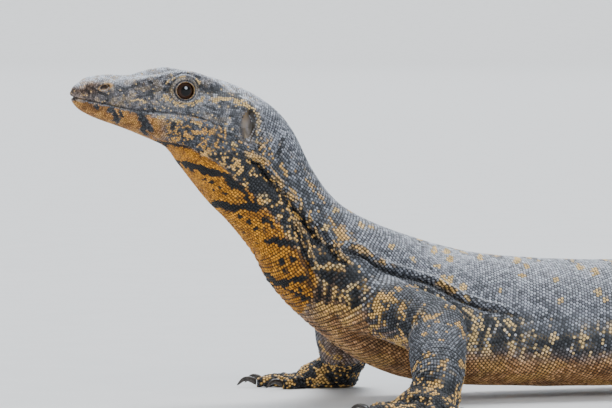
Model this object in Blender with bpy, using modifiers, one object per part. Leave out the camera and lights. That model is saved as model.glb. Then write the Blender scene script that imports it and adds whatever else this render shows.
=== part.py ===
"""A water monitor lizard at life size, standing with its forebody and head raised.

Run it with: blender --background --python part.py

The animal faces -X with +Z up, and its soles, belly scales and tail lie on the floor at z = 0.
It is modelled whole as a smooth fused body, parted by thin cuts where a person would name its parts,
and shifted at the end so that the origin is on the floor under the middle of its bounding box.
Sizes below are in millimetres and x counts from the shoulders towards the tail.
"""

import math

import bmesh
import bpy
from mathutils import Matrix, Vector
from mathutils.bvhtree import BVHTree

MM = 0.001

GAP = 0.3  # between neighbouring pieces
VOXEL = 1.15  # of the fused body
RING_SIDES = 40
SIDES = {"left": -1, "right": 1}  # the sign of y

# Cross-sections of the body in its upright middle plane: back (x, z), belly (x, z), half width,
# how much wider it is low down than high up, and its roundness (1 is an ellipse, less is squarer)
STATIONS = [
    ("snout tip", (-160.6, 155.2), (-160.7, 152.6), 1.6, 0.0, 1.0),
    ("lips", (-157.4, 158.9), (-157.4, 147.0), 6.4, 0.05, 0.9),
    ("nostrils", (-146.0, 162.9), (-148.4, 142.2), 9.8, 0.12, 0.86),
    ("snout", (-131.0, 162.8), (-135.4, 137.8), 12.2, 0.2, 0.84),
    ("canthus", (-118.6, 162.6), (-124.4, 133.6), 15.0, 0.2, 0.84),
    ("eyes", (-101.5, 163.8), (-109.2, 126.8), 18.4, 0.22, 0.86),
    ("temples", (-86.6, 161.4), (-102.6, 118.4), 21.6, 0.18, 0.88),
    ("ears", (-69.7, 155.3), (-95.4, 109.2), 22.8, 0.08, 0.9),
    ("nape", (-55.2, 146.3), (-88.4, 100.4), 21.6, 0.0, 0.94),
    ("upper neck", (-45.8, 135.4), (-78.7, 91.2), 20.8, 0.0, 0.96),
    ("mid neck", (-37.7, 119.9), (-69.4, 81.0), 20.8, 0.0, 0.96),
    ("lower neck", (-29.0, 106.6), (-62.4, 72.2), 22.0, 0.0, 0.96),
    ("neck base", (-18.9, 97.3), (-56.4, 61.4), 25.0, 0.0, 0.96),
    ("shoulder front", (-1.7, 88.6), (-44.7, 48.6), 30.0, 0.05, 0.95),
    ("shoulders", (16.2, 82.3), (-27.4, 34.4), 33.5, 0.1, 0.94),
    ("chest", (35.4, 76.6), (-2.0, 17.6), 35.5, 0.14, 0.92),
    ("behind the arms", (57.3, 72.2), (30.0, 8.6), 37.5, 0.18, 0.9),
    ("ribs", (102.0, 68.6), (86.0, 5.4), 41.0, 0.2, 0.88),
    ("belly", (150.0, 67.6), (142.0, 4.8), 42.5, 0.22, 0.87),
    ("loins", (200.0, 66.0), (196.0, 6.4), 37.5, 0.18, 0.88),
    ("hips", (240.0, 63.0), (240.0, 10.0), 30.0, 0.1, 0.92),
    ("vent", (274.0, 56.0), (276.0, 11.5), 24.0, 0.05, 0.96),
]
HEAD_ROLL = (0.052, -60.0, -30.0)  # slope across the head, whole ahead of the first x and none behind the second
SPINE_SWAY = (150.0, 9.0)  # behind this x the trunk bends sideways by this much at the vent

TAIL_LENGTH = 800.0
TAIL_STEPS = 30
TAIL_HALF_HEIGHT = (1.3, 18.6, 0.85)  # at the tip, what the root adds, and how fast it falls off
TAIL_HALF_WIDTH = (1.1, 18.4, 1.8)
TAIL_LANDS = 0.17  # share of its length at which it reaches the floor
TAIL_SWING = (6.0, 30.0, 1.75)  # heading at the root, swing in degrees, half turns of the S

# Limbs: joints (x, distance from the middle, z) and radii at the root, mid-segment and joint
FORELEGS = {
    "left": {"joints": ((-17, 20, 53), (6.4, 64, 38.8), (-7.4, 96, 17)), "toes_point": (-0.80, 0.60)},
    "right": {"joints": ((-17, 20, 53), (6, 58, 42), (19, 88, 16)), "toes_point": (-0.72, 0.69)},
}
FORELEG_RADII = (17.0, 15.0, 14.2, 14.0, 12.3)
HINDLEGS = {
    "left": {"joints": ((243, 18, 40), (212, 66, 36), (243, 94, 15)), "toes_point": (-0.84, 0.54)},
    "right": {"joints": ((243, 18, 40), (246, 68, 35), (283, 90, 15)), "toes_point": (-0.62, 0.78)},
}
HINDLEG_RADII = (23.0, 19.0, 14.8, 13.6, 10.0)

# Feet: palm half sizes along, across and upright, then each toe's length and its turn from the
# foot's own direction in degrees, positive towards the middle of the body
PALM = {"fore": (15.0, 13.5, 8.2), "hind": (20.0, 13.5, 8.4)}
PALM_AHEAD = {"fore": 9.0, "hind": 15.0}
TOES = {
    "fore": ((15.0, 58), (22.0, 29), (27.0, 3), (26.0, -22), (17.0, -56)),
    "hind": ((16.0, 40), (26.0, 20), (37.0, 3), (45.0, -13), (24.0, -58)),
}
TOE_RADIUS = {"fore": (4.3, 3.5, 2.9), "hind": (4.4, 3.6, 2.9)}
CLAW_LENGTH = {"fore": 11.5, "hind": 10.5}
CLAW_BASE = (1.55, 2.15)  # half width and half height
CLAW_STEPS = 5
CLAW_SIDES = 6

# The head's own forms
EYE_CENTRE = (-107.5, 11.4, 155.9)
EYE_RADIUS = 6.3
LID_RADIUS = 7.7
LID_OPENING = (4.75, 4.45)  # half length and half height
LUMPS = {
    "snout swelling": ((-146.0, 5.4, 156.8), (9.0, 5.2, 5.4), 8.0),
    "jaw muscle": ((-84.0, 15.0, 141.0), (17.0, 8.6, 14.0), 20.0),
    "cheek": ((-100.0, 13.0, 138.0), (17.0, 6.5, 7.0), 12.0),
    "shoulder muscle": ((-20.0, 27.0, 62.0), (17.0, 8.0, 17.0), 40.0),
}
BROW = (((-131.0, 9.0, 160.0), (-120.0, 11.2, 161.4), (-108.0, 12.6, 162.8), (-98.0, 13.2, 161.2),
         (-88.0, 12.2, 157.4), (-76.0, 11.0, 151.0)), (1.6, 2.8, 3.5, 3.1, 2.6, 2.0))
NOSTRIL = ((-146.8, 10.6, 157.3), (3.1, 2.6, 1.5), 16.0)
EAR_CUP = ((-76.8, 24.0, 138.8), (4.7, 3.6, 8.8), -14.0)
EAR_RIM = ((-81.4, 146.4), (-77.2, 149.2), (-72.0, 145.2), (-70.8, 138.0), (-72.4, 131.6), (-76.4, 128.2))
MOUTH_LINE = ((-178.0, 153.0), (-160.0, 152.0), (-151.0, 149.8), (-130.2, 145.4), (-113.0, 144.3),
              (-100.0, 142.0), (-90.6, 137.6))
JAW_HINGE_LINE = ((-88.4, 131.0), (-93.0, 119.0), (-100.0, 110.0), (-110.0, 99.0))
MOUTH_GAP = 0.4
LIP_OFFSET = 2.3

# Rolls of loose skin: (x, z) along each and its radius. They are on both sides of the body
SKIN_ROLLS = {
    "neck roll": (((-77.4, 122.0), (-69.5, 119.7), (-64.7, 113.8), (-59.5, 108.4), (-56.3, 103.9),
                   (-48.9, 95.4), (-44.1, 89.0), (-39.3, 83.0), (-35.6, 79.5)), 2.6),
    "neck branch": (((-51.1, 93.1), (-47.4, 83.7), (-45.3, 75.8), (-42.7, 69.9)), 2.0),
    "shoulder roll": (((-40.4, 84.5), (-34.5, 78.6), (-28.2, 78.8), (-21.8, 76.8), (-13.2, 71.7), (-4.7, 67.6),
                       (2.8, 65.0), (10.3, 63.4), (17.9, 60.8), (25.4, 56.7), (34.1, 52.1), (42.8, 48.9),
                       (56.0, 45.0), (72.0, 41.0)), 2.7),
    "ear roll": (((-69.0, 144.6), (-67.4, 138.4), (-68.0, 131.1), (-69.9, 122.7)), 2.0),
}

# Thin cuts that part the body: the point, the cut's normal, and its half size
CUTS = {
    "head from neck": ((-70.0, 0, 124.0), (0.80, 0, -0.60), 48.0),
    "neck from torso": ((-33.0, 0, 72.0), (0.72, 0, -0.69), 52.0),
    "torso from tail": ((268.0, 8, 34.0), (0.995, 0.10, -0.08), 40.0),
}
SHOULDER_CUT = 40.5  # distance from the middle
HIP_CUT = 40.0
TAIL_CUTS = (0.32, 0.66)  # shares of the tail's length

# Faces kept on each part when the smooth form is thinned
FACES = {
    "head": 3200, "lower_jaw": 640, "neck": 1000, "torso": 2000,
    "tail_base": 520, "tail_middle": 360, "tail_tip": 240,
    "upper_arm": 240, "forearm": 240, "hand": 520, "thigh": 260, "shank": 240, "foot": 620,
}

COLOURS = {
    "skin": ((0.075, 0.082, 0.09), 0.62),
    "throat": ((0.45, 0.23, 0.06), 0.6),
    "eye": ((0.012, 0.008, 0.006), 0.08),
    "claw": ((0.02, 0.018, 0.017), 0.3),
}


def smooth_values(rows, steps):
    """Catmull-Rom through rows of numbers, with this many steps from each row to the next."""
    made = []
    for i in range(len(rows) - 1):
        before, start, end, after = (rows[min(max(k, 0), len(rows) - 1)] for k in range(i - 1, i + 3))
        for step in range(steps):
            t = step / steps
            made.append([
                0.5 * (2 * b + (c - a) * t + (2 * a - 5 * b + 4 * c - d) * t**2 + (3 * b - a - 3 * c + d) * t**3)
                for a, b, c, d in zip(before, start, end, after)
            ])
    made.append(list(rows[-1]))
    return made


def power(value, exponent):
    return math.copysign(abs(value) ** exponent, value)


def loft(name, sections, sides):
    """A closed mesh through rings. A section is its centre, its side and up half axes, its droop and roundness."""
    mesh = bmesh.new()
    rings = []
    for centre, side, up, droop, roundness in sections:
        ring = []
        for k in range(sides):
            angle = 2 * math.pi * k / sides
            across = power(math.sin(angle), roundness)
            upright = power(math.cos(angle), roundness)
            ring.append(mesh.verts.new((centre + side * across * (1 - droop * upright) + up * upright) * MM))
        rings.append(ring)
    for first, second in zip(rings, rings[1:]):
        for k in range(sides):
            after = (k + 1) % sides
            mesh.faces.new((first[k], first[after], second[after], second[k]))
    mesh.faces.new(rings[0])
    mesh.faces.new(list(reversed(rings[-1])))
    bmesh.ops.recalc_face_normals(mesh, faces=mesh.faces)
    return object_of(name, mesh)


def object_of(name, mesh):
    data = bpy.data.meshes.new(name)
    mesh.to_mesh(data)
    mesh.free()
    made = bpy.data.objects.new(name, data)
    bpy.context.scene.collection.objects.link(made)
    return made


def sway(x):
    """How far the middle of the trunk lies to the right at this x."""
    start, reach = SPINE_SWAY
    past = max(0.0, x - start) / (STATIONS[-1][1][0] - start)
    return reach * past**2


def roll(x):
    """The slope across the head at this x, which tips its top towards the left."""
    slope, whole, none = HEAD_ROLL
    return slope * min(1.0, max(0.0, (none - x) / (none - whole)))


def trunk_sections():
    rows = []
    for _, back, belly, half_width, droop, roundness in STATIONS:
        rows.append((back[0], back[1], belly[0], belly[1], half_width, droop, roundness))
    sections = []
    for back_x, back_z, belly_x, belly_z, half_width, droop, roundness in smooth_values(rows, 4):
        middle = sway((back_x + belly_x) / 2)
        back, belly = Vector((back_x, middle, back_z)), Vector((belly_x, middle, belly_z))
        across = Vector((0, half_width, half_width * roll((back_x + belly_x) / 2)))
        sections.append(((back + belly) / 2, across, (back - belly) / 2, droop, roundness))
    return sections


def tail_line():
    """(share of the length, point on the middle line without its height, heading) along the tail."""
    root_heading, swing, half_turns = TAIL_SWING
    start = STATIONS[-1]
    point = Vector((start[1][0] + 1.0, sway(start[1][0]), 0))
    line = []
    for step in range(TAIL_STEPS + 1):
        share = step / TAIL_STEPS
        heading = math.radians(root_heading + swing * math.sin(math.pi * half_turns * share))
        line.append((share, point.copy(), Vector((math.cos(heading), math.sin(heading), 0))))
        point += line[-1][2] * TAIL_LENGTH / TAIL_STEPS
    return line


def tail_size(share):
    """(half height, half width, height of the underside) at this share of the tail's length."""
    half_height, half_width = (
        tip + root * (1 - share) ** falloff for tip, root, falloff in (TAIL_HALF_HEIGHT, TAIL_HALF_WIDTH)
    )
    landing = min(share / TAIL_LANDS, 1.0)
    underside = STATIONS[-1][2][1] * (1 - landing * landing * (3 - 2 * landing)) - landing * (0.9 - 0.4 * share)
    return half_height, half_width, underside


def tail_sections():
    sections = []
    for share, point, heading in tail_line()[1:]:
        half_height, half_width, underside = tail_size(share)
        centre = point + Vector((0, 0, underside + half_height))
        side = Vector((-heading.y, heading.x, 0)) * half_width
        sections.append((centre, side, Vector((0, 0, half_height)), 0.22, 1.0))
    return sections


def mirrored(point, side):
    """The point on this side of the body, which leans with the head where it is part of it."""
    across = SIDES[side] * point[1]
    return Vector((point[0], across, point[2] + across * roll(point[0])))


def tube(name, points, radii, sides=20):
    """A closed limb through points. A radius is one number, or a pair across and upright."""
    rows = []
    for point, radius in zip(points, radii):
        across, upright = radius if isinstance(radius, tuple) else (radius, radius)
        rows.append((*point, across, upright))
    rows = smooth_values(rows, 4)
    sections = []
    for i, row in enumerate(rows):
        ahead = Vector(rows[min(i + 1, len(rows) - 1)][:3]) - Vector(rows[max(i - 1, 0)][:3])
        side = ahead.cross(Vector((0, 0, 1))).normalized()
        up = side.cross(ahead).normalized()
        sections.append((Vector(row[:3]), side * row[3], up * row[4], 0.0, 1.0))
    return loft(name, sections, sides)


def ball(name, centre, radii, pitch=0.0, segments=24, rings=14):
    """An ellipsoid, pitched about the Y axis in degrees."""
    mesh = bmesh.new()
    bmesh.ops.create_uvsphere(mesh, u_segments=segments, v_segments=rings, radius=1.0)
    place = Matrix.Translation(Vector(centre) * MM) @ Matrix.Rotation(math.radians(pitch), 4, "Y")
    bmesh.ops.transform(mesh, matrix=place @ Matrix.Diagonal((*[r * MM for r in radii], 1)), verts=mesh.verts)
    return object_of(name, mesh)


def limb(kind, side, data, radii):
    """The upper and lower segment of a leg, with its palm and toes, as closed meshes that overlap."""
    root, bend, end = (mirrored(joint, side) for joint in data["joints"])
    pointing = foot_direction(side, data)
    across = PALM[kind][1]
    pieces = [
        tube(f"{kind} upper {side}", (root, (root + bend) / 2, bend, bend + (bend - root) * 0.12),
             (radii[0], radii[1], radii[2], radii[2] * 0.7)),
        ball(f"{kind} bend {side}", bend, (radii[2],) * 3),
        tube(f"{kind} lower {side}", (bend, (bend + end) / 2, end, end + pointing * 7 - Vector((0, 0, 6))),
             (radii[2], radii[3], radii[4], (across * 0.85, radii[4] * 0.7))),
    ]
    ahead = PALM_AHEAD[kind]
    heel = Vector((end.x, end.y, 8.4)) - pointing * 6
    ball_of_foot = Vector((end.x, end.y, 4.8)) + pointing * (ahead + PALM[kind][0] * 0.8)
    middle = Vector((end.x, end.y, 7.2)) + pointing * ahead
    upright = PALM[kind][2]
    pieces.append(tube(f"{kind} palm {side}", (heel, middle, ball_of_foot),
                       ((across * 0.72, upright), (across, upright), (across * 1.02, upright * 0.72))))
    for number in range(len(TOES[kind])):
        line = toe_line(kind, side, data, number)
        pieces.append(tube(f"{kind} toe {number} {side}", line, toe_radii(kind), sides=12))
    return pieces


def foot_direction(side, data):
    return mirrored((*data["toes_point"], 0), side).normalized()


def toe_direction(kind, side, data, number):
    turn = TOES[kind][number][1] * -SIDES[side]
    return Matrix.Rotation(math.radians(turn), 3, "Z") @ foot_direction(side, data)


def toe_line(kind, side, data, number):
    """Points from inside the palm to the toe's end, where its claw starts."""
    end = mirrored(data["joints"][2], side)
    pointing = foot_direction(side, data)
    direction = toe_direction(kind, side, data, number)
    along, across, _ = PALM[kind]
    middle = Vector((end.x, end.y, 0)) + pointing * PALM_AHEAD[kind]
    spread = Vector((-pointing.y, pointing.x, 0))
    reach = direction.dot(pointing) * along * 0.62
    aside = direction.dot(spread) * across * 0.92
    start = middle + pointing * reach + spread * aside
    length = TOES[kind][number][0]
    heights = (3.5, 3.0, 2.9, 2.2)
    return [start + direction * length * share + Vector((0, 0, height))
            for share, height in zip((-0.15, 0.35, 0.72, 1.06), heights)]


def toe_radii(kind):
    root, knuckle, tip = TOE_RADIUS[kind]
    return (root, (knuckle, knuckle * 1.05), (knuckle, knuckle * 1.05), tip)


def claw_plane(kind, side, data, number):
    """Where the toe ends: the point, and the direction out of it."""
    line = toe_line(kind, side, data, number)
    direction = toe_direction(kind, side, data, number)
    return line[-1] - direction * 1.2 + Vector((0, 0, 0.3)), direction


def claw(name, base, direction, length):
    """A claw that rises a little from its base, then curves down to a point near the floor."""
    across = Vector((-direction.y, direction.x, 0))
    half_width, half_height = CLAW_BASE
    sections = []
    for step in range(CLAW_STEPS + 1):
        share = step / CLAW_STEPS
        lean = math.radians(30 - 96 * share)
        taper = (1 - share) ** 0.75 * 0.96 + 0.04
        out = math.sin(math.radians(78) * share) / math.sin(math.radians(78))
        centre = base + direction * length * out * 0.9
        centre.z = base.z + 2.3 * math.sin(math.pi * min(share * 1.25, 1.0)) - (base.z - 1.0) * share**2.2
        tangent = direction * math.cos(lean) + Vector((0, 0, math.sin(lean)))
        if step == 0:
            tangent = direction.copy()
        up = across.cross(tangent).normalized() * -1
        sections.append((centre, across * half_width * taper, up * half_height * taper, 0.0, 1.0))
    return loft(name, sections, CLAW_SIDES)


def surface_at(tree, x, z, side):
    """The point of the body's flank at this x and z."""
    outside = Vector((x, SIDES[side] * 200.0, z)) * MM
    hit = tree.ray_cast(outside, Vector((0, -SIDES[side], 0)))[0]
    return hit / MM


def skin_roll(tree, name, line, radius, side):
    """A roll of skin half sunk in the flank, thinning and sinking in at both ends."""
    points, radii = [], []
    for i, (x, z) in enumerate(line):
        fullness = math.sin(math.pi * (i + 0.5) / len(line)) ** 0.7
        inward = Vector((0, -SIDES[side], 0)) * radius * (0.25 + 0.9 * (1 - fullness))
        points.append(surface_at(tree, x, z, side) + inward)
        radii.append(radius * (0.3 + 0.7 * fullness))
    return tube(name, points, radii, sides=10)


def raw_forms():
    """All the overlapping closed forms that the fused body is made from."""
    trunk = loft("trunk", trunk_sections() + tail_sections(), RING_SIDES)
    tree = BVHTree.FromPolygons([v.co for v in trunk.data.vertices], [p.vertices for p in trunk.data.polygons])
    forms = [trunk]
    lips = [(x, z + offset) for offset in (LIP_OFFSET, -LIP_OFFSET) for x, z in MOUTH_LINE[1:]]
    upper_lip, lower_lip = lips[1:len(lips) // 2], lips[len(lips) // 2 + 1:]
    for side in SIDES:
        for name, (centre, radii, pitch) in LUMPS.items():
            forms.append(ball(f"{name} {side}", mirrored(centre, side), radii, pitch))
        forms.append(ball(f"lids {side}", mirrored(EYE_CENTRE, side), (LID_RADIUS,) * 3))
        forms.append(tube(f"brow ridge {side}", [mirrored(point, side) for point in BROW[0]], BROW[1], sides=14))
        for name, (line, radius) in SKIN_ROLLS.items():
            forms.append(skin_roll(tree, f"{name} {side}", line, radius, side))
        forms.append(skin_roll(tree, f"ear rim {side}", EAR_RIM, 1.9, side))
        forms.append(skin_roll(tree, f"upper lip {side}", upper_lip, 1.8, side))
        forms.append(skin_roll(tree, f"lower lip {side}", lower_lip, 1.6, side))
        forms += limb("fore", side, FORELEGS[side], FORELEG_RADII)
        forms += limb("hind", side, HINDLEGS[side], HINDLEG_RADII)
    return forms


def joined(name, objects):
    """One mesh object that holds all the faces of these objects, which are removed."""
    mesh = bmesh.new()
    for thing in objects:
        mesh.from_mesh(thing.data)
        bpy.data.objects.remove(thing)
    return object_of(name, mesh)


def applied(thing):
    """The object with its modifiers applied."""
    graph = bpy.context.evaluated_depsgraph_get()
    thing.data = bpy.data.meshes.new_from_object(thing.evaluated_get(graph))
    thing.modifiers.clear()
    return thing


def blend_weights(thing):
    """A vertex group that is strong where the legs join the body, for softer joins there."""
    group = thing.vertex_groups.new(name="joins")
    roots = []
    for side in SIDES:
        for data, reach in ((FORELEGS[side], 26.0), (HINDLEGS[side], 30.0)):
            root, bend, _ = (mirrored(joint, side) for joint in data["joints"])
            roots.append((root.lerp(bend, 0.42), reach))
    for vertex in thing.data.vertices:
        point = vertex.co / MM
        weight = max(1 - (point - root).length / reach for root, reach in roots)
        if weight > 0:
            group.add([vertex.index], min(1.0, weight * 1.8), "REPLACE")


def fused(forms):
    """The forms as one smooth closed surface, flat where it meets the floor."""
    body = joined("body", forms)
    remesh = body.modifiers.new("fuse", "REMESH")
    remesh.mode = "VOXEL"
    remesh.voxel_size = VOXEL * MM
    applied(body)
    blend_weights(body)
    joins = body.modifiers.new("soften joins", "SMOOTH")
    joins.factor = 0.5
    joins.iterations = 40
    joins.vertex_group = "joins"
    soft = body.modifiers.new("soften", "SMOOTH")
    soft.factor = 0.5
    soft.iterations = 6
    return applied(body)


def slab(name, centre, normal, half_size, thickness):
    """A thin square plate at a point, square to a direction."""
    mesh = bmesh.new()
    bmesh.ops.create_cube(mesh, size=2.0)
    turn = Vector(normal).to_track_quat("Z", "Y").to_matrix().to_4x4()
    size = Matrix.Diagonal((half_size * MM, half_size * MM, thickness * MM / 2, 1))
    bmesh.ops.transform(mesh, matrix=Matrix.Translation(Vector(centre) * MM) @ turn @ size, verts=mesh.verts)
    return object_of(name, mesh)


def mouth_cut():
    """A thin curved sheet along the mouth line and down behind the lower jaw."""
    mesh = bmesh.new()
    half_width = 45.0
    line = [(x, z) for x, z in MOUTH_LINE + JAW_HINGE_LINE]
    smooth = smooth_values(line, 3)
    left = [mesh.verts.new(mirrored((x, half_width, z), "left") * MM) for x, z in smooth]
    right = [mesh.verts.new(mirrored((x, half_width, z), "right") * MM) for x, z in smooth]
    for k in range(len(smooth) - 1):
        mesh.faces.new((left[k], left[k + 1], right[k + 1], right[k]))
    sheet = object_of("mouth cut", mesh)
    solid = sheet.modifiers.new("thickness", "SOLIDIFY")
    solid.thickness = MOUTH_GAP * MM
    solid.offset = 0
    return applied(sheet)


def parting_cutters():
    cutters = [slab(name, centre, normal, half, GAP) for name, (centre, normal, half) in CUTS.items()]
    cutters.append(mouth_cut())
    line = tail_line()
    for share in TAIL_CUTS:
        _, point, heading = line[round(share * TAIL_STEPS)]
        cutters.append(slab(f"tail cut {share}", point + Vector((0, 0, 12)), heading, 34.0, GAP))
    for side in SIDES:
        for legs, distance, size in ((FORELEGS, SHOULDER_CUT, 27.0), (HINDLEGS, HIP_CUT, 32.0)):
            root, bend, end = (mirrored(joint, side) for joint in legs[side]["joints"])
            upper, lower = (bend - root).normalized(), (end - bend).normalized()
            share = (distance - abs(root.y)) / (abs(bend.y) - abs(root.y))
            pointing = foot_direction(side, legs[side])
            cutters.append(slab(f"root cut {side}", root.lerp(bend, share), (0, 1, 0), size, GAP))
            cutters.append(slab(f"bend cut {side}", bend, upper + lower, 27.0, GAP))
            downward = lower + pointing - Vector((0, 0, 1))
            cutters.append(slab(f"end cut {side}", end - lower * 5, downward, 21.0, GAP))
    return cutters


def cut(thing, cutters):
    """The object less each of these cutters in turn, which are removed."""
    for cutter in cutters:
        boolean = thing.modifiers.new("cut", "BOOLEAN")
        boolean.operation = "DIFFERENCE"
        boolean.object = cutter
        boolean.solver = "MANIFOLD"
        applied(thing)
        bpy.data.objects.remove(cutter)
    return thing


def pieces_of(thing):
    """The object's separate closed surfaces, largest first, as (bmesh, middle point in millimetres)."""
    whole = bmesh.new()
    whole.from_mesh(thing.data)
    bpy.data.objects.remove(thing)
    whole.faces.ensure_lookup_table()
    seen, found = set(), []
    for face in whole.faces:
        if face.index in seen:
            continue
        group, waiting = [], [face]
        seen.add(face.index)
        while waiting:
            current = waiting.pop()
            group.append(current.index)
            for edge in current.edges:
                for other in edge.link_faces:
                    if other.index not in seen:
                        seen.add(other.index)
                        waiting.append(other)
        found.append(group)
    made = []
    for group in sorted(found, key=len, reverse=True):
        kept = set(group)
        piece = whole.copy()
        bmesh.ops.delete(piece, geom=[f for f in piece.faces if f.index not in kept], context="FACES")
        bmesh.ops.triangulate(piece, faces=piece.faces)
        middle = sum((v.co for v in piece.verts), Vector()) / len(piece.verts) / MM
        made.append((piece, middle))
    whole.free()
    return made


def thinned(part, faces):
    """The part with about this many triangles, from the first ratio that leaves its surface whole."""
    whole = part.data
    for extra in range(12):
        part.data = whole.copy()
        thin = part.modifiers.new("thin", "DECIMATE")
        thin.ratio = (faces + 7 * extra) / len(whole.polygons)
        thin.use_collapse_triangulate = True
        applied(part)
        mesh = bmesh.new()
        mesh.from_mesh(part.data)
        sound = all(len(edge.link_faces) == 2 for edge in mesh.edges)
        mesh.free()
        if sound:
            break
    return part


def expected_parts():
    """Each part's name, a point near its middle, and its kind in FACES."""
    line = tail_line()
    parts = {
        "head": ((-96, 0, 148), "head"),
        "lower_jaw": ((-120, 0, 132), "lower_jaw"),
        "neck": ((-60, 0, 105), "neck"),
        "torso": ((120, 2, 38), "torso"),
    }
    for name, share in (("tail_base", 0.16), ("tail_middle", 0.5), ("tail_tip", 0.83)):
        point = line[round(share * TAIL_STEPS)][1]
        parts[name] = ((point.x, point.y, tail_size(share)[0]), name)
    for side in SIDES:
        for kind, legs, names in (("fore", FORELEGS, ("upper_arm", "forearm", "hand")),
                                  ("hind", HINDLEGS, ("thigh", "shank", "foot"))):
            data = legs[side]
            root, bend, end = (mirrored(joint, side) for joint in data["joints"])
            sole = end + foot_direction(side, data) * (PALM_AHEAD[kind] + 12)
            middles = (root.lerp(bend, 0.75), (bend + end) / 2, Vector((sole.x, sole.y, 6)))
            for name, middle in zip(names, middles):
                parts[f"{name}_{side}"] = (tuple(middle), name)
    return parts


def parted(body):
    """The body's parts as named objects."""
    cut(body, parting_cutters())
    pieces = pieces_of(body)
    made = {}
    for name, (point, kind) in expected_parts().items():
        closest = min(pieces, key=lambda piece: (piece[1] - Vector(point)).length)
        pieces.remove(closest)
        made[name] = thinned(object_of(name, closest[0]), FACES[kind])
    for piece, _ in pieces:
        piece.free()
    return made


def floor_cutter():
    mesh = bmesh.new()
    bmesh.ops.create_cube(mesh, size=2.0)
    bmesh.ops.transform(mesh, matrix=Matrix.Translation((0.4, 0, -0.05)) @ Matrix.Diagonal((1.2, 0.6, 0.05, 1)),
                        verts=mesh.verts)
    return object_of("floor", mesh)


def toe_trim(base, direction):
    """A short block that trims a toe square where its claw starts."""
    mesh = bmesh.new()
    bmesh.ops.create_cube(mesh, size=2.0)
    turn = direction.to_track_quat("Z", "Y").to_matrix().to_4x4()
    middle = base + direction * 4.0
    size = Matrix.Diagonal((4.5 * MM, 4.5 * MM, 4.0 * MM, 1))
    bmesh.ops.transform(mesh, matrix=Matrix.Translation(middle * MM) @ turn @ size, verts=mesh.verts)
    return object_of("toe trim", mesh)


def finish_head(head):
    cutters = []
    for side in SIDES:
        eye = mirrored(EYE_CENTRE, side)
        cutters.append(ball("socket", eye, (EYE_RADIUS + GAP,) * 3, segments=16, rings=10))
        opening = eye + Vector((0, SIDES[side] * LID_RADIUS, 0))
        cutters.append(ball("lid opening", opening, (LID_OPENING[0], LID_RADIUS * 0.62, LID_OPENING[1]),
                            segments=16, rings=10))
        for name, (centre, radii, pitch) in (("nostril", NOSTRIL), ("ear cup", EAR_CUP)):
            cutters.append(ball(name, mirrored(centre, side), radii, pitch, segments=14, rings=8))
    return cut(head, cutters)


def material(name):
    colour, roughness = COLOURS[name]
    made = bpy.data.materials.new(name)
    made.use_nodes = True
    shader = made.node_tree.nodes["Principled BSDF"]
    shader.inputs["Base Color"].default_value = (*colour, 1)
    shader.inputs["Roughness"].default_value = roughness
    made.diffuse_color = (*colour, 1)
    return made


def eyes_and_claws():
    made = {}
    for side in SIDES:
        name = f"eye_{side}"
        made[name] = ball(name, mirrored(EYE_CENTRE, side), (EYE_RADIUS,) * 3, segments=16, rings=10)
        for kind, legs in (("fore", FORELEGS), ("hind", HINDLEGS)):
            for number in range(len(TOES[kind])):
                base, direction = claw_plane(kind, side, legs[side], number)
                name = f"claw_{kind}_{side}_{number + 1}"
                made[name] = claw(name, base + direction * GAP, direction, CLAW_LENGTH[kind])
    return made


def main():
    for thing in list(bpy.data.objects):
        bpy.data.objects.remove(thing)
    lizard = bpy.data.collections.new("water monitor")
    bpy.context.scene.collection.children.link(lizard)

    parts = parted(fused(raw_forms()))
    finish_head(parts["head"])
    for kind, legs, foot in (("fore", FORELEGS, "hand"), ("hind", HINDLEGS, "foot")):
        for side in SIDES:
            trims = [toe_trim(*claw_plane(kind, side, legs[side], number)) for number in range(len(TOES[kind]))]
            cut(parts[f"{foot}_{side}"], trims)
    for name, part in parts.items():
        if min(v.co.z for v in part.data.vertices) < 0:
            cut(part, [floor_cutter()])
    skin, throat, eye, horn = (material(name) for name in ("skin", "throat", "eye", "claw"))
    for name, part in parts.items():
        part.data.materials.append(throat if name == "lower_jaw" else skin)
    details = eyes_and_claws()
    for name, part in details.items():
        part.data.materials.append(eye if name.startswith("eye") else horn)
        part.data.shade_smooth()
    parts.update(details)

    corners = [v.co for part in parts.values() for v in part.data.vertices]
    low = Vector([min(c[k] for c in corners) for k in range(3)])
    high = Vector([max(c[k] for c in corners) for k in range(3)])
    middle = Vector(((low.x + high.x) / 2, (low.y + high.y) / 2, 0))
    print("moved by", [round(value / MM, 3) for value in middle])
    for part in parts.values():
        part.data.transform(Matrix.Translation(-middle))
        bpy.context.scene.collection.objects.unlink(part)
        lizard.objects.link(part)


main()
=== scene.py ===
"""The looks of a water monitor lizard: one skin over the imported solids, its scales, eyes and claws.

Lengths are in millimetres in the lizard's own frame, where x counts from the shoulders to the tail,
y from its left side to its right and z up from the floor. `placed` turns them into the row's metres.
"""

import math
from functools import reduce

import bmesh
import bpy
import numpy as np
from mathutils import Matrix, Vector
from mathutils.bvhtree import BVHTree
from mathutils.kdtree import KDTree


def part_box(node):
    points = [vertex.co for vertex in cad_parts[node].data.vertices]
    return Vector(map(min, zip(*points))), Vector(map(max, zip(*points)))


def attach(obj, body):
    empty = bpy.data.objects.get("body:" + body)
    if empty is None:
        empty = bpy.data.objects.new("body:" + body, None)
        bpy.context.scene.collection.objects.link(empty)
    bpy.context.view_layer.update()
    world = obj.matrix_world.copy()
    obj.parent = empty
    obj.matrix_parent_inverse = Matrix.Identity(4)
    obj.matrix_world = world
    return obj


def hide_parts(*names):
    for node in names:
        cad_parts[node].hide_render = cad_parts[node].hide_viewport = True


MM = 0.001
SIDES = {"left": -1, "right": 1}
dice = np.random.default_rng(26)

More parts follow.
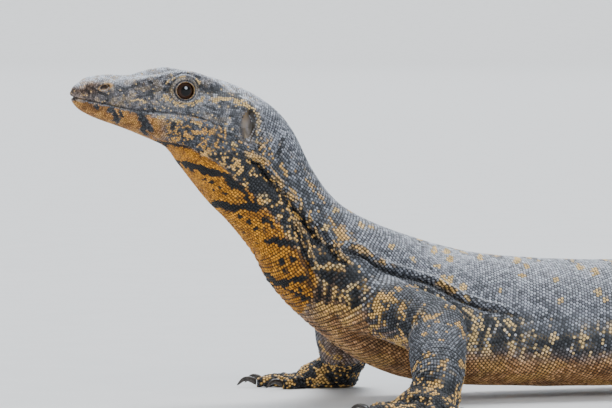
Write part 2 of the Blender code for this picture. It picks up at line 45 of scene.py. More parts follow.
# Cross-sections of the body: back x and z, belly x and z, half width
STATIONS = np.array([
    (-160.6, 155.2, -160.7, 152.6, 1.6), (-157.4, 158.9, -157.4, 147.0, 6.4),
    (-146.0, 162.9, -148.4, 142.2, 9.8), (-131.0, 162.8, -135.4, 137.8, 12.2),
    (-118.6, 162.6, -124.4, 133.6, 15.0), (-101.5, 163.8, -109.2, 126.8, 18.4),
    (-86.6, 161.4, -102.6, 118.4, 21.6), (-69.7, 155.3, -95.4, 109.2, 22.8),
    (-55.2, 146.3, -88.4, 100.4, 21.6), (-45.8, 135.4, -78.7, 91.2, 20.8),
    (-37.7, 119.9, -69.4, 81.0, 20.8), (-29.0, 106.6, -62.4, 72.2, 22.0),
    (-18.9, 97.3, -56.4, 61.4, 25.0), (-1.7, 88.6, -44.7, 48.6, 30.0),
    (16.2, 82.3, -27.4, 34.4, 33.5), (35.4, 76.6, -2.0, 17.6, 35.5),
    (57.3, 72.2, 30.0, 8.6, 37.5), (102.0, 68.6, 86.0, 5.4, 41.0),
    (150.0, 67.6, 142.0, 4.8, 42.5), (200.0, 66.0, 196.0, 6.4, 37.5),
    (240.0, 63.0, 240.0, 10.0, 30.0), (274.0, 56.0, 276.0, 11.5, 24.0),
])
# The head's lean: its slope, and the x where it is whole and where it ends
HEAD_ROLL = (0.052, -60.0, -30.0)
# The sway of the trunk's rear: the x where it starts, and how far it goes
SPINE_SWAY = (150.0, 9.0)
# The tail: length, steps, the share where it lies on the floor, and its half height and half width
TAIL_LENGTH, TAIL_STEPS, TAIL_LANDS = 800.0, 30, 0.17
TAIL_HALF_AXES = (1.3, 18.6, 0.85), (1.1, 18.4, 1.8)
# Its heading at the root, how many degrees that swings, and in how many half turns
TAIL_SWING = (6.0, 30.0, 1.75)
# Legs: three joints as x, distance from the middle and z, and the way the foot points
LEGS = {
    "arm_left": ("fore", "left", ((-17, 20, 53), (6.4, 64, 38.8), (-7.4, 96, 17)), (-0.80, 0.60)),
    "arm_right": ("fore", "right", ((-17, 20, 53), (6, 58, 42), (19, 88, 16)), (-0.72, 0.69)),
    "leg_left": ("hind", "left", ((243, 18, 40), (212, 66, 36), (243, 94, 15)), (-0.84, 0.54)),
    "leg_right": ("hind", "right", ((243, 18, 40), (246, 68, 35), (283, 90, 15)), (-0.62, 0.78)),
}
LEG_RADII = {"fore": (17.0, 15.0, 14.2, 14.0, 12.3), "hind": (23.0, 19.0, 14.8, 13.6, 10.0)}
# Palms: half length, half width and distance ahead of the wrist; toes: length and turn in degrees
PALM = {"fore": (15.0, 13.5, 9.0), "hind": (20.0, 13.5, 15.0)}
TOES = {
    "fore": ((15.0, 58), (22.0, 29), (27.0, 3), (26.0, -22), (17.0, -56)),
    "hind": ((16.0, 40), (26.0, 20), (37.0, 3), (45.0, -13), (24.0, -58)),
}
TOE_RADIUS = {"fore": 3.6, "hind": 3.7}
EYE_CENTRE = (-107.5, 11.4, 155.9)
EYE_RADIUS = 6.3
NOSTRIL = ((-146.4, 157.2), (3.0, 1.35), 16.0)
EAR = ((-76.4, 138.8), (4.8, 8.6), -14.0)
MOUTH_LINE = ((-164.0, 152.2), (-160.0, 152.0), (-151.0, 149.8), (-130.2, 145.4), (-113.0, 144.3),
              (-100.0, 142.0), (-90.6, 137.6))
# Folds of loose skin on both sides: (x, z) along each, how high it stands and how deep its shadow side is
FOLDS = {
    "neck": (((-77.4, 123.8), (-69.5, 120.7), (-64.7, 113.8), (-59.5, 108.4), (-56.3, 103.9), (-48.9, 95.4),
              (-44.1, 89.0), (-39.3, 83.0), (-35.6, 79.5)), 2.7, 3.4),
    "neck front": (((-52.2, 91.5), (-47.7, 82.8), (-45.6, 75.4), (-42.9, 69.2), (-41.6, 60.8)), 1.6, 2.2),
    "neck rear": (((-41.8, 91.9), (-37.1, 85.6), (-34.0, 80.6), (-31.3, 74.4), (-27.3, 70.7)), 1.7, 2.1),
    "shoulder": (((-30.5, 70.5), (-30.3, 76.5), (-25.6, 78.4), (-21.0, 76.9), (-13.2, 71.7), (-4.7, 67.6),
                  (2.8, 65.0), (10.3, 63.4), (17.9, 60.8), (25.4, 56.7), (34.1, 52.1), (42.8, 48.9),
                  (52.6, 46.7), (66.0, 43.5)), 1.9, 3.2),
    "ear": (((-72.0, 147.2), (-68.6, 140.0), (-69.2, 132.1), (-69.9, 122.7)), 1.0, 1.3),
    "nape": (((-55.4, 134.8), (-56.4, 128.4), (-58.5, 124.4), (-60.1, 121.0)), 0.5, 1.5),
}
FLESH = ["head", "lower_jaw", "neck", "torso", "tail_base", "tail_middle", "tail_tip"] + [
    f"{part}_{side}" for side in SIDES for part in ("upper_arm", "forearm", "hand", "thigh", "shank", "foot")
]

# The skin: how far the nodes swell to fuse, its grid, how deep it sinks again, and its triangles
SWELL, GRID, SINK, SKIN_TRIANGLES = 0.28, 0.9, 0.3, 185000
FLOOR_GAP = 0.02
# Rolls and grooves of the lids: distance from the eye's axis, height and width
LID_RINGS = ((4.75, 0.45, 0.42), (5.6, -0.6, 0.45), (6.5, 0.5, 0.5), (7.5, -0.45, 0.5), (8.4, 0.35, 0.5),
             (9.4, -0.25, 0.5))
# Round the eye: how much flatter than wide its rings are, how near no scale grows, how far its rows reach
LIDS_FLATTER, LIDS, RINGED = 1.1, 5.3, 10.1
# Those rows: distance from the eye's axis and size of scale
EYE_ROWS = ((4.95, 0.5), (5.5, 0.62), (6.15, 0.72), (6.9, 0.82), (7.75, 0.9), (8.65, 0.95), (9.6, 0.95))
SCALES_A_PIECE = 11500
# Scales along a line: at each place their size and height, how far rows wander, each strays and sizes differ
BODY_SCALES = (
    (0, 0.84, 0.2, 1.0, 0.2, 0.2), (0.25, 0.90, 0.22, 1.0, 0.16, 0.18), (0.34, 1.32, 0.3, 0.7, 0.08, 0.14),
    (0.43, 1.62, 0.38, 0.6, 0.05, 0.1), (1, 1.9, 0.4, 0.5, 0.05, 0.1),
)
TAIL_SCALES = (0, 1.9, 0.36, 0.3, 0.05, 0.08), (1, 2.6, 0.36, 0.3, 0.05, 0.08)
LEG_SCALES = (0, 1.62, 0.38, 0.4, 0.05, 0.1), (1, 1.5, 0.36, 0.4, 0.05, 0.1)
TOE_SCALES = (0, 1.55, 0.32, 0.1, 0.05, 0.08), (1, 1.5, 0.3, 0, 0.05, 0.08)
# Steps from a cell to itself and its neighbours
BESIDE = np.indices((3, 3, 3)).reshape(3, -1).T - 1

# Where the lizard is looked at from, and the picture that its marks are measured in
AZIMUTH, ELEVATION = -22.0, 2.0
PICTURE = (612, 408)
LENS, SENSOR = 300.0, 36.0
ORIGIN_SHOWS_AT = (375.0, 400.0)
PIXEL = 0.5
az, el = math.radians(AZIMUTH), math.radians(ELEVATION)
RIGHTWARD = np.array((math.cos(az), math.sin(az), 0.0))
BACKWARD = np.array((math.sin(az) * math.cos(el), -math.cos(az) * math.cos(el), math.sin(el)))
UPWARD = np.cross(BACKWARD, RIGHTWARD)
CAMERA_AT = (RIGHTWARD * (PICTURE[0] / 2 - ORIGIN_SHOWS_AT[0]) * PIXEL
             + UPWARD * (ORIGIN_SHOWS_AT[1] - PICTURE[1] / 2) * PIXEL
             + BACKWARD * PICTURE[0] * PIXEL * LENS / SENSOR)


def roll(x):
    slope, whole, none = HEAD_ROLL
    return slope * np.clip((none - x) / (none - whole), 0, 1)


def mirrored(point, side):
    across = SIDES[side] * point[1]
    return np.array((point[0], across, point[2] + across * float(roll(point[0]))))


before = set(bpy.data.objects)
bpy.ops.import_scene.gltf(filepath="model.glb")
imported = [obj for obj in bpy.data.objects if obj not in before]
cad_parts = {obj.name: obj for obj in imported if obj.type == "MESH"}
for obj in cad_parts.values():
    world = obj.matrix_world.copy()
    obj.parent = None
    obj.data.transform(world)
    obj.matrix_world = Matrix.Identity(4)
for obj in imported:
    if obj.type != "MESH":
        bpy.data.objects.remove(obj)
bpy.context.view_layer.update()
eye_low, eye_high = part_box("eye_left")
ORIGIN = np.array((eye_low + eye_high) / 2) - mirrored(EYE_CENTRE, "left") * MM


def placed(points):
    """Millimetres in the lizard's frame as metres in the row's frame."""
    return np.asarray(points) * MM + ORIGIN


def most(*shares):
    return reduce(np.maximum, shares)


def columns(*values):
    return np.stack(np.broadcast_arrays(*values), 1)


def as_left(points):
    """Points with those on the right side moved to their mirror places on the left."""
    x, y, z = points.T
    return columns(x, -np.abs(y), z - 2 * np.clip(y, 0, None) * roll(x))


def sighted(points):
    """Where points show in the picture, with those on the right side put at their mirror places."""
    away = as_left(points) - CAMERA_AT
    scale = PICTURE[0] * LENS / SENSOR / -(away @ BACKWARD)
    return PICTURE[0] / 2 + scale * (away @ RIGHTWARD), PICTURE[1] / 2 - scale * (away @ UPWARD)


def step(low, high, value):
    t = np.clip((value - low) / (high - low), 0, 1)
    return t * t * (3 - 2 * t)


def bell(distance, width):
    return np.exp(-(distance / width) ** 2)


def unit(vectors):
    return vectors / np.maximum(np.linalg.norm(vectors, axis=-1, keepdims=True), 1e-9)


def smooth_rows(rows, steps):
    """Catmull-Rom through rows of numbers."""
    rows = np.asarray(rows, float)
    made = []
    for i in range(len(rows) - 1):
        a, b, c, d = (rows[min(max(k, 0), len(rows) - 1)] for k in range(i - 1, i + 3))
        for t in np.arange(steps) / steps:
            made.append(0.5 * (2 * b + (c - a) * t + (2 * a - 5 * b + 4 * c - d) * t**2
                               + (3 * b - a - 3 * c + d) * t**3))
    return np.array(made + [rows[-1]])


def noise(points, size, seed, octaves=1):
    """Smooth noise from 0 to 1 at points in millimetres, with features about this size."""
    total, weight = 0, 0
    for octave in range(octaves):
        grid = np.random.default_rng(seed + octave).random((32, 32, 32))
        at = np.asarray(points) / size * 2**octave + seed * 3.7
        cell = np.floor(at).astype(int)
        t = at - cell
        t = t * t * (3 - 2 * t)
        value = 0
        for corner in range(8):
            bits = np.array((corner & 1, corner >> 1 & 1, corner >> 2 & 1))
            index = (cell + bits) % 32
            share = np.prod(np.where(bits, t, 1 - t), axis=-1)
            value = value + share * grid[index[..., 0], index[..., 1], index[..., 2]]
        total, weight = total + value * 0.5**octave, weight + 0.5**octave
    return total / weight


def from_line(x, z, line):
    """Signed distance from a line of points, positive above or behind it, and how far along it is."""
    line = np.asarray(line, float)
    best, sign, share = np.full(x.shape, 1e9), np.zeros(x.shape), np.zeros(x.shape)
    for i in range(len(line) - 1):
        start, go = line[i], line[i + 1] - line[i]
        t = np.clip(((x - start[0]) * go[0] + (z - start[1]) * go[1]) / (go @ go), 0, 1)
        dx, dz = x - start[0] - t * go[0], z - start[1] - t * go[1]
        far = np.hypot(dx, dz)
        closer = far < best
        best = np.where(closer, far, best)
        sign = np.where(closer, np.sign(go[0] * dz - go[1] * dx), sign)
        share = np.where(closer, (i + t) / (len(line) - 1), share)
    return best * sign, share


def in_oval(x, z, oval):
    """Distance from an oval's middle, as a share of its radius there."""
    (cx, cz), (rx, rz), turn = oval
    c, s = math.cos(math.radians(turn)), math.sin(math.radians(turn))
    dx, dz = x - cx, z - cz
    return np.hypot((dx * c + dz * s) / rx, (-dx * s + dz * c) / rz)


def body_line():
    """Middle, up and across half axes of the cross-sections of the body and of the tail."""
    back_x, back_z, belly_x, belly_z, half_width = smooth_rows(STATIONS, 8).T
    start, reach = SPINE_SWAY
    middle_x = (back_x + belly_x) / 2
    sway = reach * (np.clip(middle_x - start, 0, None) / (STATIONS[-1, 0] - start)) ** 2
    back, belly = columns(back_x, sway, back_z), columns(belly_x, sway, belly_z)
    across = columns(0, half_width, half_width * roll(middle_x))
    first, swing, half_turns = TAIL_SWING
    point = np.array((STATIONS[-1, 0] + 1.0, sway[-1], 0.0))
    tail = []
    for k in range(TAIL_STEPS + 1):
        share = k / TAIL_STEPS
        heading = math.radians(first + swing * math.sin(math.pi * half_turns * share))
        ahead = np.array((math.cos(heading), math.sin(heading), 0))
        half_height, half_width = (a + b * (1 - share) ** c for a, b, c in TAIL_HALF_AXES)
        landing = min(share / TAIL_LANDS, 1.0)
        under = STATIONS[-1, 3] * (1 - landing * landing * (3 - 2 * landing)) - landing * (0.9 - 0.4 * share)
        tail.append((*(point + (0, 0, under + half_height)), 0, 0, half_height,
                     -ahead[1] * half_width, ahead[0] * half_width, 0))
        point = point + ahead * TAIL_LENGTH / TAIL_STEPS
    return np.concatenate([(back + belly) / 2, (back - belly) / 2, across], 1), smooth_rows(tail, 6)


def tube_line(middle, radius):
    ahead = unit(np.gradient(middle, axis=0))
    across = unit(np.cross(ahead, (0, 0, 1.0)))
    return np.concatenate([middle, np.cross(across, ahead) * radius, across * radius], 1)


def foot_direction(leg):
    kind, side, joints, pointing = LEGS[leg]
    return unit(np.array((pointing[0], pointing[1] * SIDES[side], 0.0)))


def leg_line(leg):
    """Middle, up and across half axes from where the leg leaves the body to the front of its foot."""
    kind, side, joints, pointing = LEGS[leg]
    root, bend, end = (mirrored(joint, side) for joint in joints)
    r = LEG_RADII[kind]
    ahead = foot_direction(leg) * PALM[kind][2]
    middle = np.array([root, (root + bend) / 2, bend, (bend + end) / 2, end,
                       end * (1, 1, 0) + ahead + (0, 0, 7), end * (1, 1, 0) + ahead * 2.2 + (0, 0, 5)])
    return tube_line(smooth_rows(middle, 8), smooth_rows(np.array(r + (12.0, 11.0))[:, None], 8))


def toe_line(leg, number):
    """The same along a toe, from inside the palm to its end."""
    kind, side, joints, pointing = LEGS[leg]
    pointing = foot_direction(leg)
    length, turn = TOES[kind][number]
    turn = math.radians(-SIDES[side] * turn)
    c, s = math.cos(turn), math.sin(turn)
    direction = np.array((pointing[0] * c - pointing[1] * s, pointing[0] * s + pointing[1] * c, 0.0))
    along, across, ahead = PALM[kind]
    spread = np.array((-pointing[1], pointing[0], 0))
    start = (mirrored(joints[2], side) * (1, 1, 0) + pointing * ahead
             + pointing * direction.dot(pointing) * along * 0.62
             + spread * direction.dot(spread) * across * 0.92)
    middle = np.array([start + direction * length * share + (0, 0, height)
                       for share, height in ((-0.15, 3.5), (0.35, 3.0), (0.72, 2.9), (1.06, 2.2))])
    middle = smooth_rows(middle, 6)
    return tube_line(middle, np.full((len(middle), 1), TOE_RADIUS[kind]))


def new_object(name, data):
    made = bpy.data.objects.new(name, data)
    bpy.context.scene.collection.objects.link(made)
    return made


def mesh_of(made, name):
    data = bpy.data.meshes.new(name)
    made.to_mesh(data)
    made.free()
    return data


def merged_copy(name):
    """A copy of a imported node's shape with its loose triangles joined."""
    copy = bmesh.new()
    copy.from_mesh(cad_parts[name].data)
    bmesh.ops.remove_doubles(copy, verts=copy.verts, dist=1e-6)
    return copy


def applied(thing):
    graph = bpy.context.evaluated_depsgraph_get()
    thing.data = bpy.data.meshes.new_from_object(thing.evaluated_get(graph))
    thing.modifiers.clear()
    return thing


def corners_of(mesh):
    """The mesh's points in millimetres, and its outward directions there."""
    flat, out = np.empty(len(mesh.vertices) * 3, np.float32), np.empty(len(mesh.vertices) * 3, np.float32)
    mesh.vertices.foreach_get("co", flat)
    mesh.vertex_normals.foreach_get("vector", out)
    return (flat.reshape(-1, 3) - ORIGIN) / MM, out.reshape(-1, 3).astype(float)


def move_corners(mesh, points):
    mesh.vertices.foreach_set("co", placed(points).astype(np.float32).ravel())
    mesh.update()


def weigh(thing, name, weights):
    group = thing.vertex_groups.new(name=name)
    steps = np.round(np.clip(weights, 0, 1) * 20).astype(int)
    for level in range(1, 21):
        chosen = np.nonzero(steps == level)[0]
        if len(chosen):
            group.add(chosen.tolist(), level / 20, "REPLACE")


def from_eye(points):
    """How far points are from the eye's axis on their side, and whether they are near it."""
    left, centre = as_left(points), mirrored(EYE_CENTRE, "left")
    near = step(8.5, 10.5, -left[:, 1]) * (np.linalg.norm(left - centre, axis=1) < 15)
    return np.hypot(left[:, 0] - centre[0], (left[:, 2] - centre[2]) * LIDS_FLATTER), near


def relief(points, out):
    """How far the skin stands out or sinks in at its folds, lids, lips and creases."""
    x, y, z = as_left(points).T
    raised = 0.5 * (noise(points, 13, 3, 2) - 0.5) * step(-60, -30, x)
    flank = step(0.25, 0.55, np.abs(out[:, 1])) * (y < -8) * (y > -50)
    for line, high, deep in FOLDS.values():
        far, share = from_line(x, z, line)
        far = far + 1.2 * (noise(points, 7, 5) - 0.5)
        whole = flank * step(-0.01, 0.1, share) * step(1.01, 0.85, share)
        raised += whole * (high * bell(far - 0.8, 1.25) - deep * bell(far + 2.0, 1.4))
    far = from_line(x, z, MOUTH_LINE)[0]
    mouth = (x < -88) * (z > 130) * (np.abs(far) < 6)
    raised += mouth * (0.35 * bell(far - 1.7, 0.9) + 0.25 * bell(far + 1.6, 0.9) - 1.25 * bell(far, 0.62))
    radius, near = from_eye(points)
    raised += near * sum(high * bell(radius - at, width) for at, high, width in LID_RINGS)
    side = (np.abs(out[:, 1]) > 0.3) * (x < -60)
    nostril, ear = in_oval(x, z, NOSTRIL), in_oval(x, z, EAR)
    raised += side * (0.4 * bell(nostril - 1.4, 0.4) - 1.3 * step(1.05, 0.6, nostril))
    raised += side * (0.7 * bell(ear - 1.3, 0.25) - 1.8 * step(1.05, 0.5, ear) * step(-3, 3, x - EAR[0][0]))
    cheek = side * step(-118, -105, x) * step(-82, -92, x) * step(150, 144, z) * (z > 120)
    raised += 0.3 * cheek * np.sin((x * 0.5 + z * 0.87) * 1.7 + 3 * noise(points, 9, 6))
    throat = step(0.1, -0.5, out[:, 2]) * step(-75, -60, x) * step(0, -25, x)
    raised += 0.35 * throat * np.sin((x * 0.74 - z * 0.67) * 1.55 + 2 * noise(points, 16, 8))
    for kind, which, joints, pointing in LEGS.values():
        end = mirrored(joints[2], which)
        reach = (points - end) @ unit(mirrored(joints[1], which) - end)
        close = (np.linalg.norm(points - end, axis=1) < 30) * step(-9, -5, reach) * step(13, 7, reach)
        raised += 0.25 * close * np.sin(reach * 2.3 + 3.5 * noise(points, 12, 9))
    return raised


def detailed(thing, wanted):
    """Divides the faces whose points are wanted into four."""
    mesh = bmesh.new()
    mesh.from_mesh(thing.data)
    mesh.verts.ensure_lookup_table()
    chosen = {int(i) for i in np.nonzero(wanted)[0]}
    edges = {edge for i in chosen for edge in mesh.verts[i].link_edges
             if edge.other_vert(mesh.verts[i]).index in chosen}
    bmesh.ops.subdivide_edges(mesh, edges=list(edges), cuts=1, use_grid_fill=True)
    bmesh.ops.triangulate(mesh, faces=[face for face in mesh.faces if len(face.verts) > 4])
    mesh.to_mesh(thing.data)
    mesh.free()


def softened(thing, group, rounds, factor=0.5):
    soften = thing.modifiers.new("soften", "SMOOTH")
    soften.factor = factor
    soften.iterations = rounds
    soften.vertex_group = group


def one_skin():
    """The flesh nodes fused into one smooth surface, which lies inside them by the depth of the scales."""
    flesh = bmesh.new()
    for name in FLESH:
        part = merged_copy(name)
        part.normal_update()
        for corner in part.verts:
            corner.co += corner.normal * SWELL * MM
        data = mesh_of(part, name)
        flesh.from_mesh(data)
        bpy.data.meshes.remove(data)
    skin = new_object("skin", mesh_of(flesh, "skin"))
    fuse = skin.modifiers.new("fuse", "REMESH")
    fuse.mode = "VOXEL"
    fuse.voxel_size = GRID * MM
    x, y, z = corners_of(applied(skin).data)[0].T
    head = step(-52, -72, x + 0.55 * (z - 120))
    feet = step(26, 18, z) * step(58, 70, np.abs(y)) * (x < 330)
    weigh(skin, "broad", (1 - head) * (1 - feet))
    softened(skin, "broad", 22)
    softened(skin, "", 5)
    x, y, z = corners_of(applied(skin).data)[0].T
    weigh(skin, "temple", bell(x + 88, 11) * step(145, 150, z))
    softened(skin, "temple", 14)
    points, out = corners_of(applied(skin).data)
    centre = mirrored(EYE_CENTRE, "left")
    radius, near = from_eye(points)
    wider = near * 0.45 * bell(radius - 4.1, 1.1) / np.maximum(radius, 1)
    points[:, 0] += wider * (points[:, 0] - centre[0])
    points[:, 2] += wider * (as_left(points)[:, 2] - centre[2])
    move_corners(skin.data, points)
    x, y, z = as_left(points).T
    radius, near = from_eye(points)
    fine = (near > 0) & (radius < 11)
    for line, high, deep in FOLDS.values():
        fine |= (np.abs(from_line(x, z, line)[0]) < 3.4) & (y < -8) & (y > -45)
    fine |= (np.abs(from_line(x, z, MOUTH_LINE)[0]) < 2) & (x < -87)
    fine |= (in_oval(x, z, NOSTRIL) < 2) & (y < -4) | (in_oval(x, z, EAR) < 1.5) & (y < -12)
    detailed(skin, fine)
    points, out = corners_of(skin.data)
    points += out * (relief(points, out) - SINK)[:, None]
    points[:, 2] = np.maximum(points[:, 2], FLOOR_GAP)
    move_corners(skin.data, points)
    skin.vertex_groups.clear()
    weigh(skin, "coarse", 1 - 0.9 * step(-45, -60, points[:, 0]))
    thin = skin.modifiers.new("thin", "DECIMATE")
    thin.ratio = SKIN_TRIANGLES / sum(len(face.vertices) - 2 for face in skin.data.polygons)
    thin.vertex_group = "coarse"
    applied(skin)
    softened(skin, "", 1, 0.35)
    applied(skin).vertex_groups.clear()
    points, out = corners_of(skin.data)
    points[:, 2] = np.maximum(points[:, 2], FLOOR_GAP)
    move_corners(skin.data, points)
    return skin


skin = one_skin()
skin_points, skin_out = corners_of(skin.data)
flesh_tree = BVHTree.FromObject(skin, bpy.context.evaluated_depsgraph_get())


class Coat:
    """Scales as rows of numbers: root, outward, lie, length, width, height and place on the unwrap."""

    def __init__(self):
        self.rows = []
        self.zones = []

    def add(self, zone, root, out, lie, size, place):
        lie = unit(lie - out * np.sum(lie * out, 1, keepdims=True))
        self.rows.append(np.concatenate([root, out, lie, size, place], 1))
        self.zones += [zone] * len(root)

    def all(self):
        return np.concatenate(self.rows)

    def keep(self, wanted):
        self.rows = [self.all()[wanted]]
        self.zones = list(np.array(self.zones)[wanted])


def tree_of(roots):
    tree = KDTree(len(roots))
    for i, root in enumerate(roots):
        tree.insert(root, i)
    tree.balance()
    return tree


def spaced(rows, sizes):
    """Rows of a line set apart by the first of these sizes, which change along it, with the sizes there."""
    spacing = sizes[:, 0]
    back, belly = rows[:, :3] + rows[:, 3:6], rows[:, :3] - rows[:, 3:6]
    paces = [np.linalg.norm(np.diff(edge, axis=0), axis=1) for edge in (back, belly, rows[:, :3])]
    pace = 0.6 * np.maximum(*paces[:2]) + 0.4 * paces[2]
    counts = np.concatenate([[0], np.cumsum(pace / ((spacing[1:] + spacing[:-1]) / 2))])
    wanted = np.arange(0.5, counts[-1])
    picked = np.array([np.interp(wanted, counts, column) for column in np.column_stack([rows, sizes]).T]).T
    return picked, wanted / counts[-1]


def on_skin(points):
    found = [flesh_tree.find_nearest(Vector(point)) for point in placed(points)]
    return ((np.array([hit for hit, out, face, far in found]) - ORIGIN) / MM,
            np.array([out for hit, out, face, far in found]))


def lay_rings(coat, zone, rows, ends, rays, furthest):
    """Rings of scales round a line, half a scale out of step from ring to ring."""
    places, *ends = np.array(ends).T
    along = np.linspace(0, 1, len(rows))
    picked, shares = spaced(rows, columns(*(np.interp(along, places, column) for column in ends)))
    ahead = unit(np.gradient(picked[:, :3], axis=0))
    turns = np.linspace(-math.pi, math.pi, rays + 1)
    for number, (row, share) in enumerate(zip(picked, shares)):
        centre, up, across = row[:9].reshape(3, 3)
        gap, height, wander, stray, differ = row[9:]
        ways = np.outer(np.cos(turns), up) + np.outer(np.sin(turns), across)
        start = Vector(placed(centre))
        hits, good = [], []
        for way, far in zip(unit(ways), np.linalg.norm(ways, axis=1)):
            hit, out, face, distance = flesh_tree.ray_cast(start, Vector(way))
            good.append(hit is not None and distance / MM < far * furthest + 4)
            hits.append((np.array(hit) - ORIGIN) / MM if good[-1] else centre + way * far)
        hits, good = np.array(hits), np.array(good)
        lengths = np.linalg.norm(np.diff(hits, axis=0), axis=1)
        joined = good[1:] & good[:-1] & (lengths < 6)
        along = np.concatenate([[0], np.cumsum(np.minimum(lengths, 3.0))])
        top = along[rays // 2]
        places = np.arange(-int(top / gap), int((along[-1] - top) / gap) + 1) * gap
        places = top + places + (gap / 2 if number % 2 else 0)
        places = places[(places > 0) & (places < along[-1])]
        segment = np.clip(np.searchsorted(along, places) - 1, 0, rays - 1)
        places, segment = places[joined[segment]], segment[joined[segment]]
        if not len(places):
            continue
        t = ((places - along[segment]) / np.maximum(along[segment + 1] - along[segment], 1e-6))[:, None]
        root = hits[segment] * (1 - t) + hits[segment + 1] * t
        drift = columns(*(noise(root, 6 + 4 * gap, 61 + k) - 0.5 for k in range(3))) * 2 * wander
        root, out = on_skin(root + drift + dice.uniform(-stray, stray, root.shape) * gap)
        lie = ahead[number] + dice.uniform(-4, 4, root.shape) * stray
        size = np.array((gap * 0.98, gap * 0.94, height)) * dice.uniform(1 - differ, 1 + differ, root.shape)
        coat.add(zone, root, out, lie, size, columns(places / along[-1], share))


def bare(points, out, lids=LIDS):
    """Where no scale grows: the eye with its lids, nostril, mouth line, ear drum and the soles."""
    x, y, z = as_left(points).T
    radius, near = from_eye(points)
    side = (np.abs(out[:, 1]) > 0.25) & (x < -60)
    found = (near > 0) & (radius < np.where(np.abs(out[:, 1]) > 0.4, lids, LIDS))
    found |= (np.abs(from_line(x, z, MOUTH_LINE)[0]) < 0.5) & (x < -89) & (z > 134)
    found |= side & ((in_oval(x, z, NOSTRIL) < 1.3) | (in_oval(x, z, EAR) < 0.84))
    return found | (points[:, 2] < 1.0) & (out[:, 2] < -0.6)


def eye_rings(coat):
    """Rows of small scales that follow the lids round each eye."""
    for side, sign in SIDES.items():
        centre = mirrored(EYE_CENTRE, side)
        for radius, size in EYE_ROWS:
            count = int(2 * math.pi * radius / size)
            for k in range(count):
                angle = 2 * math.pi * (k + 0.5 * dice.random() * (radius > 6)) / count
                c, s = math.cos(angle), math.sin(angle)
                start = centre + np.array((c, 0, s / LIDS_FLATTER)) * radius + (0, sign * 14, 0)
                hit, out, face, far = flesh_tree.ray_cast(Vector(placed(start)), Vector((0, -sign, 0)))
                if hit is None:
                    continue
                place = 0.5 + sign * (0.2 + 0.005 * radius * c), 0.42 + 0.005 * radius * s
                coat.add("head", (np.array([hit]) - ORIGIN) / MM, *(np.array([row]) for row in (
                    out, (-s / LIDS_FLATTER, 0, c), (size * 1.05, size * 0.9, 0.2), place)))


def fill_gaps(coat):
    """Scales where the rings leave the skin bare."""
    rows, zones = coat.all(), np.array(coat.zones)
    tree = tree_of(rows[:, :3])
    skin.data.calc_loop_triangles()
    triangles = skin.data.loop_triangles
    count = len(triangles)
    corners, outs = np.empty(count * 3, np.int32), np.empty(count * 3, np.float32)
    triangles.foreach_get("vertices", corners)
    triangles.foreach_get("normal", outs)
    corners, outs = skin_points[corners.reshape(-1, 3)], outs.reshape(-1, 3).astype(float)
    centres = corners.mean(1)
    order = dice.permutation(count)
    order = order[~bare(centres[order], outs[order])]
    taken, made = {}, {}
    for k in order:
        for at in (centres[k], *((centres[k] + corners[k]) / 2)):
            found = tree.find_n(at, 10)
            agreeing = (one for one in found if outs[k] @ rows[one[1], 3:6] > -0.2)
            near, i, far = next(agreeing, (at, found[0][1], 9.9))
            size = min(rows[i, 9], rows[i, 10])
            if far < 0.84 * size:
                break
            cell = np.floor(at / 1.5).astype(int)
            others = [p for beside in BESIDE for p in taken.get(tuple(cell + beside), ())]
            if any(np.sum((p - at) ** 2) < (0.86 * size) ** 2 for p in others):
                continue
            taken.setdefault(tuple(cell), []).append(at)
            place = rows[i, 12:14] + dice.uniform(-0.002, 0.002, 2)
            made.setdefault(zones[i], []).append((at, outs[k], rows[i, 6:9], rows[i, 9:12] * 0.95, place))
    for zone, found in made.items():
        coat.add(zone, *(np.array(column) for column in zip(*found)))


def all_scales():
    coat = Coat()
    body, tail = body_line()
    lay_rings(coat, "trunk", body[2:], BODY_SCALES, 165, 1.28)
    x, y, z = coat.all()[:, :3].T
    coat.zones = list(np.select([x * 0.75 - z * 0.66 < -128, x < 18], ["head", "neck"], "trunk"))
    lay_rings(coat, "tail", tail, TAIL_SCALES, 60, 1.3)
    for leg in LEGS:
        lay_rings(coat, leg, leg_line(leg)[6:], LEG_SCALES, 90, 1.45)
        for number in range(5):
            lay_rings(coat, leg, toe_line(leg, number), TOE_SCALES, 30, 1.4)
    rows = coat.all()
    coat.keep(~bare(rows[:, :3], rows[:, 3:6], RINGED))
    eye_rings(coat)
    rows, zones = coat.all(), coat.zones
    tree = tree_of(rows[:, :3])
    clear = [not any(i < k and (far < 0.62 * size or zones[i] != zones[k])
                     for near, i, far in tree.find_range(root, 0.86 * size))
             for k, (root, size) in enumerate(zip(rows[:, :3], np.minimum(rows[:, 9], rows[:, 10])))]
    coat.keep(np.array(clear))
    fill_gaps(coat)
    return coat.all(), np.array(coat.zones)


scales, zones = all_scales()


def band(px, py, line, width, rough):
    """A jagged streak along a line of the picture, from 0 to 1."""
    stray = 2 * min(width, 2.5) * (rough - 0.5)
    far, share = from_line(px + stray, py - stray, line)
    wide = width * (0.35 + 1.2 * rough) * step(-0.15, 0.1, share) * step(1.15, 0.9, share)
    return step(1.15, 0.85, np.abs(far) / wide)


def spots(px, py, places, radius, rough):
    found = np.zeros(len(px))
    for x, y, *size in places:
        far = np.hypot(px - x, py - y) / ((size[0] if size else radius) * (0.6 + 0.8 * rough))
        found = np.maximum(found, step(1.04, 0.96, far))
    return found


